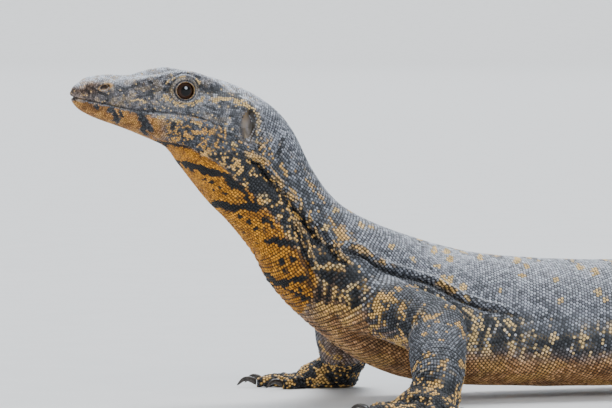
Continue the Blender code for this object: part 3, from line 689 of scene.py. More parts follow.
# Marks as lines and places in the picture, in pixels, with half widths
THROAT_EDGE = (
    (66, 97), (84, 102), (100, 110), (125, 118), (142, 124), (156, 139), (177, 143), (192, 148), (207, 157),
    (217, 163), (228, 172), (238, 180), (247, 190), (256, 199), (268, 210), (279, 222), (288, 238),
    (298, 250), (310, 264), (318, 280), (312, 300), (300, 318),
)
LIP_LINE = (
    (60, 98), (93, 102), (112, 106), (132, 110), (145, 112), (165, 114), (183, 115), (198, 117), (210, 121),
    (223, 127), (240, 138), (256, 152), (275, 172),
)
THROAT_BANDS = (
    (1.9, (156, 141), (163, 143), (177, 144), (190, 146), (200, 149), (212, 153)),
    (3.4, (181, 163), (193, 166), (206, 170), (217, 172), (227, 177), (237, 184), (245, 190)),
    (3.3, (215, 202), (227, 206), (237, 207), (248, 207), (258, 205), (267, 202)),
    (2.2, (233, 184), (244, 190), (247, 197), (251, 204)), (2.2, (265, 216), (269, 222), (273, 229)),
    (3.2, (264, 243), (276, 241), (290, 243), (304, 246)),
    (3.2, (268, 275), (279, 285), (292, 281), (306, 276)), (1.6, (285, 289), (305, 297), (322, 300)),
)
JAW_BARS = (
    (2.2, (96, 104), (98, 109)), (2.6, (110, 108), (114, 114), (118, 123)), (2.2, (119, 111), (122, 118)),
    (4.4, (138, 112), (144, 121), (151, 133)), (1.5, (128, 111), (130, 114)),
)
THROAT_SPOTS = (
    (205, 179), (211, 182), (219, 188), (226, 195), (248, 222, 2.8), (257, 228, 2.6), (276, 238, 2.4),
    (282, 263, 3.0), (293, 259, 3.2), (285, 271, 2.4), (236, 179, 2), (273, 202, 3), (275, 212, 2.2),
    (300, 290, 2.4), (214, 190, 1.4), (240, 216, 1.8),
)
HEAD_PALE = (
    (1.8, (163, 94), (167, 99), (175, 103.5), (183, 105), (192, 104), (199, 101), (204, 97)),
    (2.3, (213, 100), (223, 98.5), (232, 100), (240, 101.5), (246, 104)),
    (1.5, (246, 105), (252, 107), (257, 112), (259.5, 122), (259, 133), (257, 143)),
    (0.7, (164, 85), (170, 80), (178, 77), (188, 76), (197, 79), (203, 85)),
    (1.7, (131, 101), (138, 100.5), (146, 102)), (1.9, (157, 117), (165, 117.5)),
    (1.4, (171, 119.5), (182, 121.5)), (1.4, (191, 122), (203, 126)),
    (1.5, (223, 142), (233, 144), (240, 150)), (1.6, (221, 154), (236, 157)), (1.3, (247, 158), (258, 163)),
)
HEAD_DARK = (
    (2.4, (152, 90), (163, 89), (175, 91)), (3.4, (195, 85), (207, 88.5), (217, 93), (228, 95), (242, 97)),
    (1.2, (251, 110), (255.5, 118), (256, 130), (253, 140)),
)
SHOULDER_PALE = (
    (2.4, (315, 267), (330, 267), (344, 266)),
    (2.3, (350, 302), (347, 293), (352, 286), (362, 284), (367, 288)),
    (2.8, (367, 290), (363, 298), (357, 309), (350, 319), (341, 323)), (1.9, (326, 281), (324, 296)),
    (1.8, (335, 285), (333, 301)), (1.7, (343, 289), (340, 302)), (5.5, (318, 307), (334, 309), (352, 311)),
)
SHOULDER_BLACK = (
    (1.5, (322, 272), (321, 285), (318, 302)), (1.3, (331, 276), (330, 290), (326, 304)),
    (1.3, (340, 273), (339, 287), (336, 303)), (2.2, (356, 291), (356, 299), (350, 307), (345, 305)),
    (1.0, (330, 318), (342, 315), (354, 306), (362, 300)),
)
# A line of painted shade along a crease of the nape.
NAPE_PAINTED_SHADE = ((0.7, (284, 133), (282, 145), (278, 153), (273, 160)),)
ROSETTE_ROWS = 21, 9.5
BACK_SPOTS = (
    (335, 211), (350, 211), (361, 225), (371, 227), (334, 228), (325, 228, 3.6), (392, 246), (413, 259),
    (434, 250, 3.6), (446, 252, 3.4), (450, 259), (437, 267), (450, 280, 4), (443, 279, 3.6), (464, 287, 4),
    (468, 298), (517, 262, 4), (526, 267, 3.6), (522, 276), (580, 267, 4), (595, 272, 4), (598, 293, 4),
    (606, 300), (560, 300, 3.4), (556, 280), (500, 290), (480, 258),
)


def streaks(px, py, lines, rough):
    return most(*(band(px, py, line, width, rough) for width, *line in lines))


def head_marks(px, py, points, out, chance):
    rough, broad, mottle = noise(points, 2.2, 21), noise(points, 7, 22), noise(points, 2.6, 24, 2)
    x, y, z = as_left(points).T
    edge, lip = from_line(px, py, THROAT_EDGE)[0], from_line(px, py, LIP_LINE)[0]
    jaw = step(0.2, 1.6, lip)
    throat = step(-1.2, 1.2, edge + 3 * (rough - 0.5)) * step(146, 152, px)
    front = step(172, 156, px + 4 * (rough - 0.5))
    orange = front * (1 - streaks(px, py, JAW_BARS, rough))
    orange = orange * step(0.8, 3.2, lip - 3 * (rough - 0.5) + 1.5 * (px < 110))
    flecks = step(0.57, 0.60, 0.62 * noise(points * (0.6, 0.8, 1.7), 1.8, 23) + 0.38 * chance)
    strip = jaw * bell(lip - 3.0, 2.0) * step(125, 165, px) * step(225, 205, px) * step(0.35, 0.6, broad)
    below = jaw * (1 - strip) * (1 - throat)
    warm = most(throat, below * most(0.85 * orange, 0.85 * (1 - front) * flecks))
    dark = front * most(0.9 * (1 - orange), 0.4 * step(0.5, 0.38, mottle))
    dark = below * most(dark, (0.55 + 0.4 * broad) * (1 - front))
    # The throat and the jaw's underside are darkened a little, partly as painted shade under the jaw; black
    # scales and bands go on the throat.
    dark = most(dark, 0.14 * (throat + below), throat * 0.8 * (chance > 0.985),
                throat * streaks(px, py, THROAT_BANDS[:2], rough))
    pale = 0.66 * below * (1 - front) * flecks + 0.35 * below * front * orange * step(0.52, 0.66, mottle)
    cheek = 1 - jaw
    snout = cheek * step(-112, -135, x)
    lines = noise(columns(x * 0.8 + z * 1.39, y * 0.5, x * 0.3 - z * 0.17), 1.7, 25)
    pale = most(pale, cheek * (0.1 + 0.14 * snout) * step(0.52, 0.66, mottle),
                cheek * 0.75 * (chance > 0.955) * (rough > 0.4))
    # Cheek: a base darkness and dark mottle, with painted shade along its creases, all fading out where the
    # cheek turns up towards the light as painted light.
    mottle_and_painted_crease_shade = 0.2 + 0.03 * snout + 0.42 * step(0.54, 0.36, mottle) + 0.3 * step(0.46, 0.3, lines)
    dark = most(dark, cheek * mottle_and_painted_crease_shade * step(0.8, 0.4, out[:, 2]))
    warm = most(warm, cheek * (0.03 + 0.06 * snout + 0.4 * bell(x + 157, 8)))
    pale = most(pale, 0.95 * streaks(px, py, HEAD_PALE, rough) * (chance > 0.12))
    gape = from_line(x, z, MOUTH_LINE)[0]
    dark = most(dark, 0.85 * streaks(px, py, HEAD_DARK, rough),
                (x < -88) * most(0.95 * bell(gape, 0.9), 0.62 * bell(gape - 2.8, 3.2)))
    radius, near = from_eye(points)
    ring = 0.8 * near * rough * bell(radius - 6.5, 0.35)
    pale = most(pale * (1 - near * step(6.6, 6.0, radius)), ring)
    # Painted shadow of the brow round the eye, stronger above it.
    painted_brow_shadow = near * (0.35 + 0.3 * step(0, 4, z - EYE_CENTRE[2])) * bell(radius - 6.8, 1.9)
    crown = step(0.35, 0.85, out[:, 2])
    dark = most(dark, 0.85 * near * bell(radius - 5.3, 0.6), painted_brow_shadow, 0.3 * crown * step(0.5, 0.62, mottle))
    # Painted sheen: a pale lilac painted reflection of the sky on the crown and the upper cheek; the strip
    # below the lip line takes a pale lilac mark through it too.
    painted_sheen = most(crown * (0.45 + 0.15 * snout + 0.3 * broad + 0.35 * step(0.62, 0.4, mottle)), 0.3 * strip)
    painted_sheen = most(painted_sheen, cheek * (0.2 * step(0.5, 0.7, broad) + 0.15 * bell(x + 98, 13))) * (1 - throat)
    return pale, warm, dark * (1 - pale), painted_sheen


def body_marks(px, py, points, out, chance):
    rough, broad = noise(points, 2.8, 31), noise(points, 8, 32)
    x, y, z = as_left(points).T
    above = z - np.interp(x, STATIONS[:, 2], STATIONS[:, 3])
    edge = from_line(px, py, THROAT_EDGE)[0]
    neck = step(8, -14, x)
    throat = neck * step(-1.5, 1.5, edge + 4 * (rough - 0.5))
    ring = np.hypot(px - 263, py - 199)
    black = most(spots(px, py, THROAT_SPOTS, 2.0, rough), streaks(px, py, THROAT_BANDS, rough),
                 bell(ring - 8.0, 2.2), bell(ring, 1.6))
    fold, front, rear = (from_line(x, z, FOLDS[name][0])[0] for name in ("neck", "neck front", "neck rear"))
    slung, reach = from_line(x, z, FOLDS["shoulder"][0])
    side = neck * (1 - throat) * step(-60, -40, edge)
    ahead = side * step(2, -1, fold)
    down, over = x * 0.55 - z * 0.83, x * 0.83 + z * 0.55
    flecks = noise(columns(over * 1.2, y, down * 0.9), 1.9, 33)
    dashes = noise(columns(over * 1.3, y * 0.6, down * 0.45), 2.1, 34)
    pale = ahead * step(0.0, 0.03, 0.62 * flecks + 0.38 * chance - 0.585 - 0.05 * step(0, -30, edge))
    pale = most(pale, side * (1 - ahead) * step(0.625, 0.65, 0.7 * dashes + 0.3 * chance))
    dark = most(black * throat, 0.93 * ahead, side * (1 - ahead) * (0.2 + 0.55 * step(0.42, 0.3, dashes)))
    low = step(22, 11, above + 4 * (rough - 0.5)) * step(0.3, -0.3, out[:, 2])
    belly = low * step(-50, -32, x) * (1 - throat)
    warm = most(throat, 0.72 * belly, 0.6 * side * (pale > 0.3))
    dark = most(dark, throat * 0.75 * (chance > 0.985)) * (1 - belly)
    dark = most(dark, 0.35 * belly * step(0.45, 0.3, noise(points * (1, 1, 0.4), 7, 39)))
    pale = most(pale * (1 - belly), 0.35 * belly * step(0.5, 0.65, broad), bell(ring - 4.2, 1.5) * 0.9)
    tight = (x > -45) * (x < 40) * (y < -4)
    chest = tight * step(17, 12, np.hypot((px - 338) / 1.9, (py - 292) / 1.55)) * (1 - throat)
    ribbons = tight * streaks(px, py, SHOULDER_PALE, rough)
    knots = tight * streaks(px, py, SHOULDER_BLACK, rough)
    pale = most(pale * (1 - chest), 0.9 * ribbons * (chance > 0.1)) * (1 - knots)
    dark = most(dark, 0.75 * chest * (1 - ribbons), knots)
    pale = most(pale, spots(px, py, BACK_SPOTS, 2.8, rough) * (px > 318) * (py < 305) * (chance > 0.08))
    beads = step(0.42, 0.49, noise(points, 3.2, 40))
    crest = most(bell(fold - 0.8, 1.25), 0.9 * bell(front - 0.6, 1.0), bell(rear - 0.6, 0.9))
    crest = crest * beads * neck
    crest = most(crest, bell(slung - 0.8, 1.1) * step(0.12, 0.18, reach) * step(0.42, 0.32, reach) * beads,
                 bell(slung - 0.6, 1.2) * (np.abs(reach - 0.68) < 0.05)) * step(0.15, 0.3, np.abs(out[:, 1]))
    pale, warm = most(pale, 0.95 * crest), most(warm, 0.55 * crest)
    # Painted shadow below each fold, on its lower side.
    painted_fold_shadow = most(*(bell(far + 2.3, 1.5) * (far < 0) for far in (fold, front, rear, slung))) * (y < -8)
    # Painted shade in the recess by the shoulder, which also dims the pale marks there.
    painted_pit_shade = bell(np.hypot((px - 326) / 1.3, py - 253), 9) * tight
    pale = pale * (1 - 0.8 * painted_pit_shade * (1 - crest))
    dark = most(dark, 0.85 * painted_fold_shadow * (1 - crest), 0.85 * painted_pit_shade * (1 - crest),
                0.9 * (streaks(px, py, NAPE_PAINTED_SHADE, rough) * neck))
    slope = step(-1, -5, slung) * step(70, 60, x) + step(60, 70, x) * step(36, 24, above + 14 * (broad - 0.5))
    under = slope * step(-2, 14, x) * step(0.75, 0.3, out[:, 2]) * (1 - belly)
    bars = 0.75 * noise(points * (1.5, 0.4, 0.4), 3.4, 36) + 0.25 * chance
    pale = most(pale * (1 - under), under * step(0.57, 0.64, bars) * (chance > 0.2))
    dark = most(dark, 0.96 * under * step(0.60, 0.5, bars) * (1 - 0.45 * step(80, 160, x)))
    hind = most(step(118, 134, x) * step(0.0, 0.3, out[:, 2] + 0.4),
                step(0, 24, x) * step(-13, -8, points[:, 1]) * step(0.55, 0.75, out[:, 2]))
    cell = columns((x + 3 * (broad - 0.5)) / ROSETTE_ROWS[0],
                   y / ROSETTE_ROWS[1] + 0.5 * (np.floor(x / ROSETTE_ROWS[0]) % 2))
    off = cell - np.round(cell) + 0.25 * (rough[:, None] - 0.5)
    rosette = np.hypot(off[:, 0] * ROSETTE_ROWS[0], off[:, 1] * ROSETTE_ROWS[1]) / 2.8
    pale = most(pale, hind * step(1.15, 0.85, rosette) * (chance > 0.1))
    dark = most(dark, hind * most(0.6 * step(2.0, 1.5, rosette), 0.3 * step(0.35, 0.45, np.abs(off[:, 0]))))
    # Painted sheen: faces that turn up get a pale lilac painted reflection of the sky, less on the rosettes
    # and over the neck and shoulders.
    painted_sheen = (0.38 + 0.3 * broad) * step(0.35, 0.98, out[:, 2]) * (1 - 0.4 * (rosette < 1.6) * hind)
    painted_sheen = painted_sheen * (1 - 0.5 * step(-75, -45, x) * step(30, 0, x))
    return pale, warm, dark * (1 - pale), painted_sheen * (1 - throat)


def tail_marks(along, points, out, chance):
    """Dark and pale rings down the tail."""
    wave = np.sin(along * 2 * math.pi * 17 + 5 * noise(points, 60, 41) + 1.2 * noise(points, 7, 45))
    rough = noise(points, 6, 42)
    whole = step(-0.02, 0.09, along - 0.05 * (rough - 0.5))
    pale = step(0.55, 0.8, wave + 0.5 * (rough - 0.5)) * step(0.35, 0.5, noise(points, 4, 43))
    pale = pale * (chance > 0.15) * most(whole, noise(points, 4, 44) > 0.55)
    dark = (0.3 + 0.3 * whole) * step(0.8, -0.2, wave) + 0.25 * whole * step(0.2, -0.3, wave)
    belly = step(-0.1, -0.6, out[:, 2])
    # The last value is a painted sheen on the faces that turn up.
    return pale, most(0.5 * belly, 0.25 * pale), dark * (1 - 0.5 * belly), 0.25 * step(0.5, 1.0, out[:, 2])


def leg_marks(share, points, out, chance):
    """Black legs with pale dots in bands and clusters, slate on top and yellow towards the toes."""
    rough = noise(points, 4.2, 53)
    wave = np.sin(share * 2 * math.pi / 0.13 + 3 * (noise(points, 9, 52) - 0.5))
    upper, low = step(0.44, 0.34, share), most(step(0.70, 0.78, share), step(16, 11, points[:, 2]))
    pale = most(0.95 * upper * step(0.8, 0.3, out[:, 2]) * step(0.0, 0.4, wave) * (chance > 0.35),
                0.9 * step(0.69, 0.73, rough) * (chance > 0.15),
                low * (chance > 0.84 - 0.26 * step(0.5, 0.6, rough)), 0.85 * (chance > 0.97))
    dark = most(0.9 * low, (0.92 - 0.2 * noise(points, 9, 51)) * (1 - 0.25 * step(0.1, 0.7, out[:, 2])))
    dark = dark * (1 - 0.25 * (1 - upper) * (1 - low))
    inner = step(-0.25, -0.7, out[:, 2]) * (1 - low)
    # Painted sheen on the tops of the legs.
    painted_sheen = 0.15 * step(0.3, 0.9, out[:, 2]) * (1 - pale) * (1 - low)
    return pale, most(0.35 * inner, 0.55 * (pale > 0.5)), dark * (1 - pale) * (1 - 0.7 * inner), painted_sheen


def marks_of(rows, zones):
    """Pale, warm, dark and painted sheen of each scale, from 0 to 1."""
    points = rows[:, :3]
    px, py = sighted(points)
    chance = dice.random(len(rows))
    marks = np.zeros((len(rows), 4))

    def marked(kind, chosen, *where):
        where = where or (px, py)
        return columns(*kind(*(value[chosen] for value in (*where, points, rows[:, 3:6], chance))))

    head, tail = zones == "head", zones == "tail"
    body = head | (zones == "neck") | (zones == "trunk")
    marks[body] = marked(body_marks, body)
    height = as_left(points[head])[:, 2]
    behind = step(-84, -72, points[head, 0] - 9 * step(122, 130, height))
    behind = most(behind, step(148, 154, py[head]))[:, None]
    marks[head] = marked(head_marks, head) * (1 - behind) + marks[head] * behind
    marks[tail] = marked(tail_marks, tail, rows[:, 13])
    for leg in LEGS:
        marks[zones == leg] = marked(leg_marks, zones == leg, rows[:, 13])
    return np.clip(marks, 0, 1)


marks = marks_of(scales, zones)
tones = np.clip(0.5 + 0.22 * dice.standard_normal(len(scales)), 0, 1)
zones[((zones == "head") | (zones == "neck")) & (marks[:, 1] > 0.5)] = "throat"


def unit_scale():
    """A six-sided bead one across and one tall."""
    mesh = bmesh.new()
    bmesh.ops.create_cone(mesh, cap_ends=True, segments=6, radius1=0.52, radius2=0.33, depth=1.0)
    bmesh.ops.translate(mesh, verts=mesh.verts, vec=(0, 0, 0.5))
    mesh.normal_update()
    bmesh.ops.delete(mesh, geom=[face for face in mesh.faces if face.normal.z < -0.9], context="FACES_ONLY")
    bmesh.ops.triangulate(mesh, faces=mesh.faces)
    mesh.verts.index_update()
    points = np.array([corner.co for corner in mesh.verts])
    faces = np.array([[corner.index for corner in face.verts] for face in mesh.faces])
    mesh.free()
    return points, faces


SCALE_POINTS, SCALE_FACES = unit_scale()
ROOT_DEPTH, SCALE_SPREAD, PATCH = 0.35, 1.12, 0.003


def attribute(mesh, name, values):
    values = np.asarray(values, np.float32)
    kind, field = ("FLOAT_COLOR", "color") if values.ndim > 1 else ("FLOAT", "value")
    mesh.attributes.new(name, kind, "POINT").data.foreach_set(field, values.ravel())


def scale_mesh(name, rows, marks, tones, painted_shade_softening):
    """Copies of the bead on their roots as one piece, with its marks and its unwrap."""
    root, out, lie = rows[:, None, :3], rows[:, None, 3:6], rows[:, None, 6:9]
    length, width, height = (rows[:, None, k:k + 1] for k in (9, 10, 11))
    x, y, z = (SCALE_POINTS[None, :, k:k + 1] for k in range(3))
    rise = z * (height + ROOT_DEPTH) - ROOT_DEPTH
    across = np.cross(out, lie) * y * width * SCALE_SPREAD
    points = root + lie * x * length * SCALE_SPREAD + across + out * rise
    points[..., 2] = np.maximum(points[..., 2], 0.01)
    count, corners = len(rows), len(SCALE_POINTS)
    faces = (SCALE_FACES[None] + np.arange(count)[:, None, None] * corners).reshape(-1, 3)
    mesh = bpy.data.meshes.new(name)
    mesh.vertices.add(count * corners)
    mesh.vertices.foreach_set("co", placed(points.reshape(-1, 3)).astype(np.float32).ravel())
    mesh.loops.add(faces.size)
    mesh.loops.foreach_set("vertex_index", faces.ravel().astype(np.int32))
    mesh.polygons.add(len(faces))
    mesh.polygons.foreach_set("loop_start", np.arange(len(faces), dtype=np.int32) * 3)
    mesh.update(calc_edges=True)
    attribute(mesh, "marks", np.repeat(marks, corners, 0))
    attribute(mesh, "tone", np.repeat(tones, corners))
    # How high each point stands on its bead, which the material turns into painted shade towards the root;
    # the head's beads get less of it.
    attribute(mesh, "rise", np.tile(painted_shade_softening + (1 - painted_shade_softening) * SCALE_POINTS[:, 2], count))
    spread = rows[:, 12:14] - rows[:, 12:14].min(0)
    places = 0.01 + 0.98 * spread / np.maximum(spread.max(0), 1e-6)
    layout = (places[:, None, :] + SCALE_POINTS[None, :, :2] * PATCH).reshape(-1, 2)
    unwrap = mesh.uv_layers.new(name="OFBake")
    unwrap.data.foreach_set("uv", layout[faces.ravel()].astype(np.float32).ravel())
    mesh.shade_smooth()
    return new_object(name, mesh)


class Wire:
    """A socket that takes part in sums and products."""

    def __init__(self, finish, socket):
        self.finish = finish
        self.socket = socket

    def combined(self, operation, other):
        return self.finish.node("ShaderNodeMath", {"operation": operation}, {0: self, 1: other})

    def __add__(self, other):
        return self.combined("ADD", other)

    def __mul__(self, other):
        return self.combined("MULTIPLY", other)

    __radd__, __rmul__ = __add__, __mul__


class Finish:
    """A material in the making."""

    def __init__(self, name):
        self.material = bpy.data.materials.new(name)
        self.material.use_nodes = True
        self.tree = self.material.node_tree
        self.shader = self.tree.nodes["Principled BSDF"]
        self.coords = self.node("ShaderNodeTexCoord", {}, {}, "Object")

    def link(self, value, socket):
        if isinstance(value, Wire):
            self.tree.links.new(value.socket, socket)
        else:
            socket.default_value = value

    def node(self, kind, settings, inputs, output=0):
        made = self.tree.nodes.new(kind)
        for key, value in settings.items():
            if key == "stops":
                while len(made.color_ramp.elements) < len(value):
                    made.color_ramp.elements.new(0.5)
                for element, (position, colour) in zip(made.color_ramp.elements, value):
                    element.position = position
                    element.color = (*colour, 1)
            else:
                setattr(made, key, value)
        for key, value in inputs.items():
            self.link(value, made.inputs[key])
        return Wire(self, made.outputs[output])

    def others(self, wire, *names):
        return [Wire(self, wire.socket.node.outputs[name]) for name in names]

    def noise(self, size, detail=2.0, rough=0.5):
        return self.node("ShaderNodeTexNoise", {}, {"Vector": self.coords, "Scale": 1 / (size * MM),
                                                    "Detail": detail, "Roughness": rough})

    def spread(self, value, low, high, start=0.0, end=1.0):
        return self.node("ShaderNodeMapRange", {"interpolation_type": "SMOOTHSTEP"},
                         {"Value": value, "From Min": low, "From Max": high, "To Min": start, "To Max": end})

    def mix(self, share, first, second):
        first, second = (value if isinstance(value, Wire) else (*value, 1) for value in (first, second))
        return self.node("ShaderNodeMix", {"data_type": "RGBA"}, {0: share, 6: first, 7: second}, 2)

    def dim(self, colour, by):
        return self.node("ShaderNodeVectorMath", {"operation": "SCALE"}, {0: colour, "Scale": by})

    def bump(self, height, strength, depth):
        inputs = {"Strength": strength, "Distance": depth * MM, "Height": height}
        return self.node("ShaderNodeBump", {}, inputs, "Normal")

    def set(self, **values):
        for name, value in values.items():
            self.link(value, self.shader.inputs[name.replace("_", " ")])
        return self.material


SLATE, SLATE_LIGHT = (0.098, 0.108, 0.132), (0.32, 0.342, 0.40)
OCHRE, OCHRE_DEEP = (0.59, 0.255, 0.018), (0.36, 0.142, 0.011)
CREAM, CREAM_WARM = (0.74, 0.52, 0.22), (0.74, 0.40, 0.09)
# The lilac is the colour of the painted sheen, a painted reflection of the sky on faces that turn up.
BLACK, PAINTED_SHEEN_LILAC = (0.012, 0.013, 0.015), (0.66, 0.70, 0.78)


def hide_finish(name, bead):
    """Scaly hide: slate, ochre, black, cream and a painted bluish sheen where the marks say, worn and grainy,
    with painted shade low on the beads and in the gaps between them.
    """
    made = Finish(name)
    marks = made.node("ShaderNodeAttribute", {"attribute_name": "marks"}, {}, "Color")
    (painted_sheen,) = made.others(marks, "Alpha")
    pale = made.node("ShaderNodeSeparateColor", {}, {0: marks}, "Red")
    warm, dark = made.others(pale, "Green", "Blue")
    tone = made.node("ShaderNodeAttribute", {"attribute_name": "tone"}, {}, "Fac")
    patchy = made.noise(9, 3.0)
    grain = made.noise(0.35, 2.0)
    slate = made.mix(made.spread(patchy * 0.5 + tone * 0.5, 0.3, 0.7), SLATE, SLATE_LIGHT)
    ochre = made.mix(made.spread(patchy * 0.6 + tone * 0.4, 0.35, 0.65), OCHRE_DEEP, OCHRE)
    cream = made.mix(warm, CREAM, CREAM_WARM)
    colour = made.mix(warm, slate, ochre)
    # Painted sheen: the colour is pulled towards pale lilac where the marks carry painted sky reflection.
    colour = made.mix(painted_sheen, colour, PAINTED_SHEEN_LILAC)
    colour = made.mix(dark, colour, BLACK)
    colour = made.mix(pale, colour, cream)
    light = (0.55 + tone * 0.72) * (0.84 + grain * 0.32)
    if bead:
        # Painted shade: each bead is painted darker towards its root, as the shade between scales.
        rise = made.node("ShaderNodeAttribute", {"attribute_name": "rise"}, {}, "Fac")
        light = light * made.spread(rise, 0.42, 1.0, 0.05, 1.1)
    else:
        # The skin between scales is kept dark, partly its own darker colour and partly painted shade in the
        # gaps; where it shows instead of scales it is lighter.
        shown = made.node("ShaderNodeAttribute", {"attribute_name": "shown"}, {}, "Fac")
        light = light * (0.2 + shown * 0.8)
    return made.set(Base_Color=made.dim(colour, light), Roughness=0.44 + grain * 0.18 + painted_sheen * 0.10,
                    Normal=made.bump(grain, 0.35, 0.2), Specular_IOR_Level=0.22)


def dress(thing, finish, slot, *nodes):
    thing.data.materials.clear()
    thing.data.materials.append(finish)
    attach(thing, "root")
    if nodes:
        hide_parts(*nodes)


def skin_marks(nearest):
    """Marks of the skin, and how much of it shows between or instead of scales; the less shows, the darker
    its painted shade.
    """
    x, y, z = as_left(skin_points).T
    own, shown = marks[nearest], 0.3 * step(-75, -90, x)
    side = (np.abs(skin_out[:, 1]) > 0.15) & (x < -60)
    streaky = noise(columns(x * 1.3, y, z * 0.5), 2.0, 71)
    ear, nostril = in_oval(x, z, EAR), in_oval(x, z, NOSTRIL)
    # Ear drum: its rear part, where the skin sinks deepest, is painted nearly black and its upper part darker
    # and browner, as painted shade in the ear's hollow; the rest has streaky tissue colours with a streaky
    # painted sheen.
    deep = step(-1.0, 2.4, x - EAR[0][0] + 0.12 * (z - EAR[0][1]) + 2 * (streaky - 0.5))
    top, painted_nostril_shade = step(0, 6, z - EAR[0][1]), step(1.0, 0.8, nostril)
    drum = columns(0.3 * streaky, 0.15 + 0.3 * top, 0.3 + 0.3 * streaky + 0.3 * top, 0.3 * streaky)
    drum = drum * (1 - deep[:, None]) + columns(0.1 * streaky, 0.2, 0.93, 0) * deep[:, None]
    radius, near = from_eye(skin_points)
    lit = 0.45 + 0.5 * step(-3, 3, 0.6 * (x - EYE_CENTRE[0]) + z - EYE_CENTRE[2])
    for place, shows, share in (
            (drum, 0.68 - 0.3 * deep, side * step(1.2, 1.0, ear)),
            # The nostril's opening is painted dark as its shade, inside a paler rim.
            (columns(0.5 - 0.5 * painted_nostril_shade, 0.6, 0.86 * painted_nostril_shade, 0), 0.8, side * step(1.5, 1.2, nostril)),
            (columns(lit, 0.75, 0.9 - lit, 0), 0.85, near * step(4.95, 4.85, radius)),
            (np.array((0.0, 0.2, 0.96, 0.0)), 0.5, near * step(4.6, 4.5, radius))):
        own = own * (1 - share[:, None]) + place * share[:, None]
        shown = shown * (1 - share) + shows * share
    return own, shown


scale_tree = tree_of(scales[:, :3])
nearest = np.array([scale_tree.find(point)[1] for point in skin_points])
own, shown = skin_marks(nearest)
attribute(skin.data, "marks", own)
attribute(skin.data, "tone", tones[nearest])
attribute(skin.data, "shown", shown)
skin.data.shade_smooth()
dress(skin, hide_finish("dark slate hide", False), "skin", *FLESH)
bead_hide = hide_finish("slate scales", True)
for zone in np.unique(zones):
    chosen = np.nonzero(zones == zone)[0]
    chosen = chosen[np.argsort(scales[chosen, 13], kind="stable")]
    shares = np.array_split(chosen, int(len(chosen) / SCALES_A_PIECE) + 1)
    for number, share in enumerate(shares):
        name = f"scales_{zone}_{number + 1}" if len(shares) > 1 else f"scales_{zone}"
        piece = scale_mesh(name, scales[share], marks[share], tones[share], 0.55 * (zone == "head"))
        dress(piece, bead_hide, "throat" if zone == "throat" else "skin")


def eye_finish(side):
    """A wet dark brown eye with a round pupil and a faintly lighter iris."""
    made = Finish(f"dark eye {side}")
    pole = placed(mirrored(EYE_CENTRE, side) + (0, SIDES[side] * EYE_RADIUS * 1.04, 0))
    far = made.node("ShaderNodeVectorMath", {"operation": "DISTANCE"}, {0: made.coords, 1: tuple(pole)},
                    "Value")
    ramp = made.node("ShaderNodeValToRGB", {"stops": (
        (0.0, (0.002, 0.002, 0.002)), (0.38, (0.002, 0.002, 0.002)), (0.44, (0.020, 0.010, 0.006)),
        (0.60, (0.034, 0.015, 0.008)), (0.72, (0.008, 0.005, 0.004)), (1.0, (0.003, 0.002, 0.002)))},
        {"Fac": far * (1 / (6.6 * MM)) + made.noise(0.5, 3.0) * 0.06})
    return made.set(Base_Color=ramp, Roughness=0.04, IOR=1.29)


for side, sign in SIDES.items():
    ball = bmesh.new()
    bmesh.ops.create_uvsphere(ball, u_segments=48, v_segments=32, radius=EYE_RADIUS * MM)
    bmesh.ops.rotate(ball, verts=ball.verts, matrix=Matrix.Rotation(math.radians(90), 3, "X"))
    for corner in ball.verts:
        ahead = corner.co.y * sign / (EYE_RADIUS * MM)
        corner.co *= 1 + 0.045 * max(0.0, (ahead - 0.72) / 0.28) ** 0.8
    bmesh.ops.translate(ball, verts=ball.verts, vec=Vector(placed(mirrored(EYE_CENTRE, side))))
    data = mesh_of(ball, f"eyeball_{side}")
    data.shade_smooth()
    dress(new_object(f"eyeball_{side}", data), eye_finish(side), "eye", f"eye_{side}")


def claw_finish():
    """Dark horn with streaks along it."""
    made = Finish("dark horn")
    streaks = made.noise(1.4, 4.0, 0.7)
    colour = made.mix(made.spread(streaks, 0.35, 0.7), (0.012, 0.010, 0.009), (0.060, 0.048, 0.038))
    return made.set(Base_Color=colour, Roughness=0.24 + streaks * 0.16, Normal=made.bump(streaks, 0.3, 0.2))


horn = claw_finish()
for name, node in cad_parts.items():
    if not name.startswith("claw"):
        continue
    claw = merged_copy(name)
    bmesh.ops.recalc_face_normals(claw, faces=claw.faces)
    data = mesh_of(claw, f"{name}_horn")
    data.shade_smooth()
    curved = new_object(f"{name}_horn", data)
    rounded = curved.modifiers.new("rounded", "SUBSURF")
    rounded.levels = rounded.render_levels = 1
    dress(curved, horn, "claw", name)


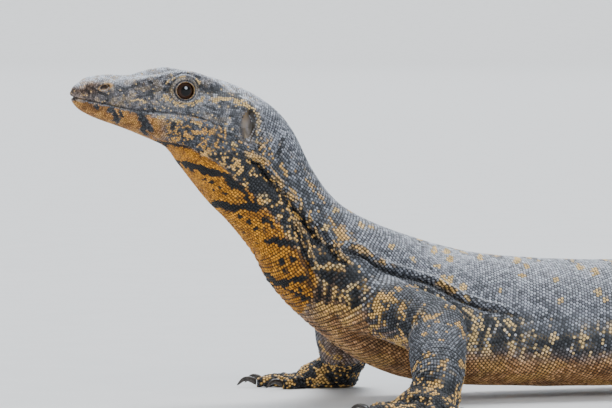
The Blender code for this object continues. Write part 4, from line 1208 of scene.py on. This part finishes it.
def studio_bowl():
    """A pale floor that curves up into a low wall far away."""
    mesh = bmesh.new()
    bmesh.ops.create_circle(mesh, cap_ends=True, segments=96, radius=22)
    rim = [edge for edge in mesh.edges]
    for k in range(1, 13):
        turn = math.radians(7.5 * k)
        made = bmesh.ops.extrude_edge_only(mesh, edges=rim)["geom"]
        rim = [item for item in made if isinstance(item, bmesh.types.BMEdge)]
        reach, rise = 22 + 8 * math.sin(turn), 5 * (1 - math.cos(turn))
        for corner in (item for item in made if isinstance(item, bmesh.types.BMVert)):
            way = corner.co.xy.normalized() * reach
            corner.co = (way.x, way.y, rise)
    bmesh.ops.recalc_face_normals(mesh, faces=mesh.faces)
    data = mesh_of(mesh, "floor")
    data.shade_smooth()
    made = Finish("pale floor")
    tint = made.mix(made.spread(made.noise(40, 3.0), 0.3, 0.7), (0.72, 0.73, 0.74), (0.70, 0.71, 0.72))
    data.materials.append(made.set(Base_Color=tint, Roughness=0.85))
    new_object("floor", data)


def studio_camera():
    camera = new_object("camera", bpy.data.cameras.new("camera"))
    camera.data.lens = LENS
    camera.data.sensor_width = SENSOR
    camera.data.clip_start, camera.data.clip_end = 0.1, 100
    turn = Matrix([row for row in zip(RIGHTWARD, UPWARD, BACKWARD)]).to_4x4()
    camera.matrix_world = Matrix.Translation(Vector(placed(CAMERA_AT))) @ turn
    bpy.context.scene.camera = camera


def light(name, kind, direction, strength, colour):
    data = bpy.data.lights.new(name, kind)
    data.energy, data.color = strength, colour
    made = new_object(name, data)
    made.rotation_mode = "QUATERNION"
    made.rotation_quaternion = Vector(direction).to_track_quat("Z", "Y")
    return made


def sun(name, direction, strength, softness, colour):
    made = light(name, "SUN", direction, strength, colour)
    made.data.angle = math.radians(softness)
    return made


def eye_light():
    """A small soft light that shows only as the highlight in the eye on the camera's side."""
    way = RIGHTWARD * 0.66 + UPWARD * 0.42 + BACKWARD * 0.68
    made = light("eye light", "AREA", way, 60.0, (0.82, 0.90, 1.0))
    made.data.shape, made.data.size = "DISK", 0.85
    made.visible_camera = made.visible_diffuse = False
    made.location = Vector(placed(mirrored(EYE_CENTRE, "left") + way * 1600))


studio_bowl()
studio_camera()
sun("overhead softbox", (0.10, 0.35, 1.0), 3.4, 35, (1.0, 1.0, 1.0))
sun("front fill", (-0.40, -1.0, 0.45), 2.1, 40, (1.0, 0.98, 0.95)).visible_glossy = False
sun("low rim", (0.5, 1.0, 0.5), 1.0, 20, (0.85, 0.92, 1.0))
eye_light()
world = bpy.data.worlds.new("studio")
world.use_nodes = True
world.node_tree.nodes["Background"].inputs["Color"].default_value = (0.80, 0.88, 0.96, 1)
world.node_tree.nodes["Background"].inputs["Strength"].default_value = 0.52
bpy.context.scene.world = world
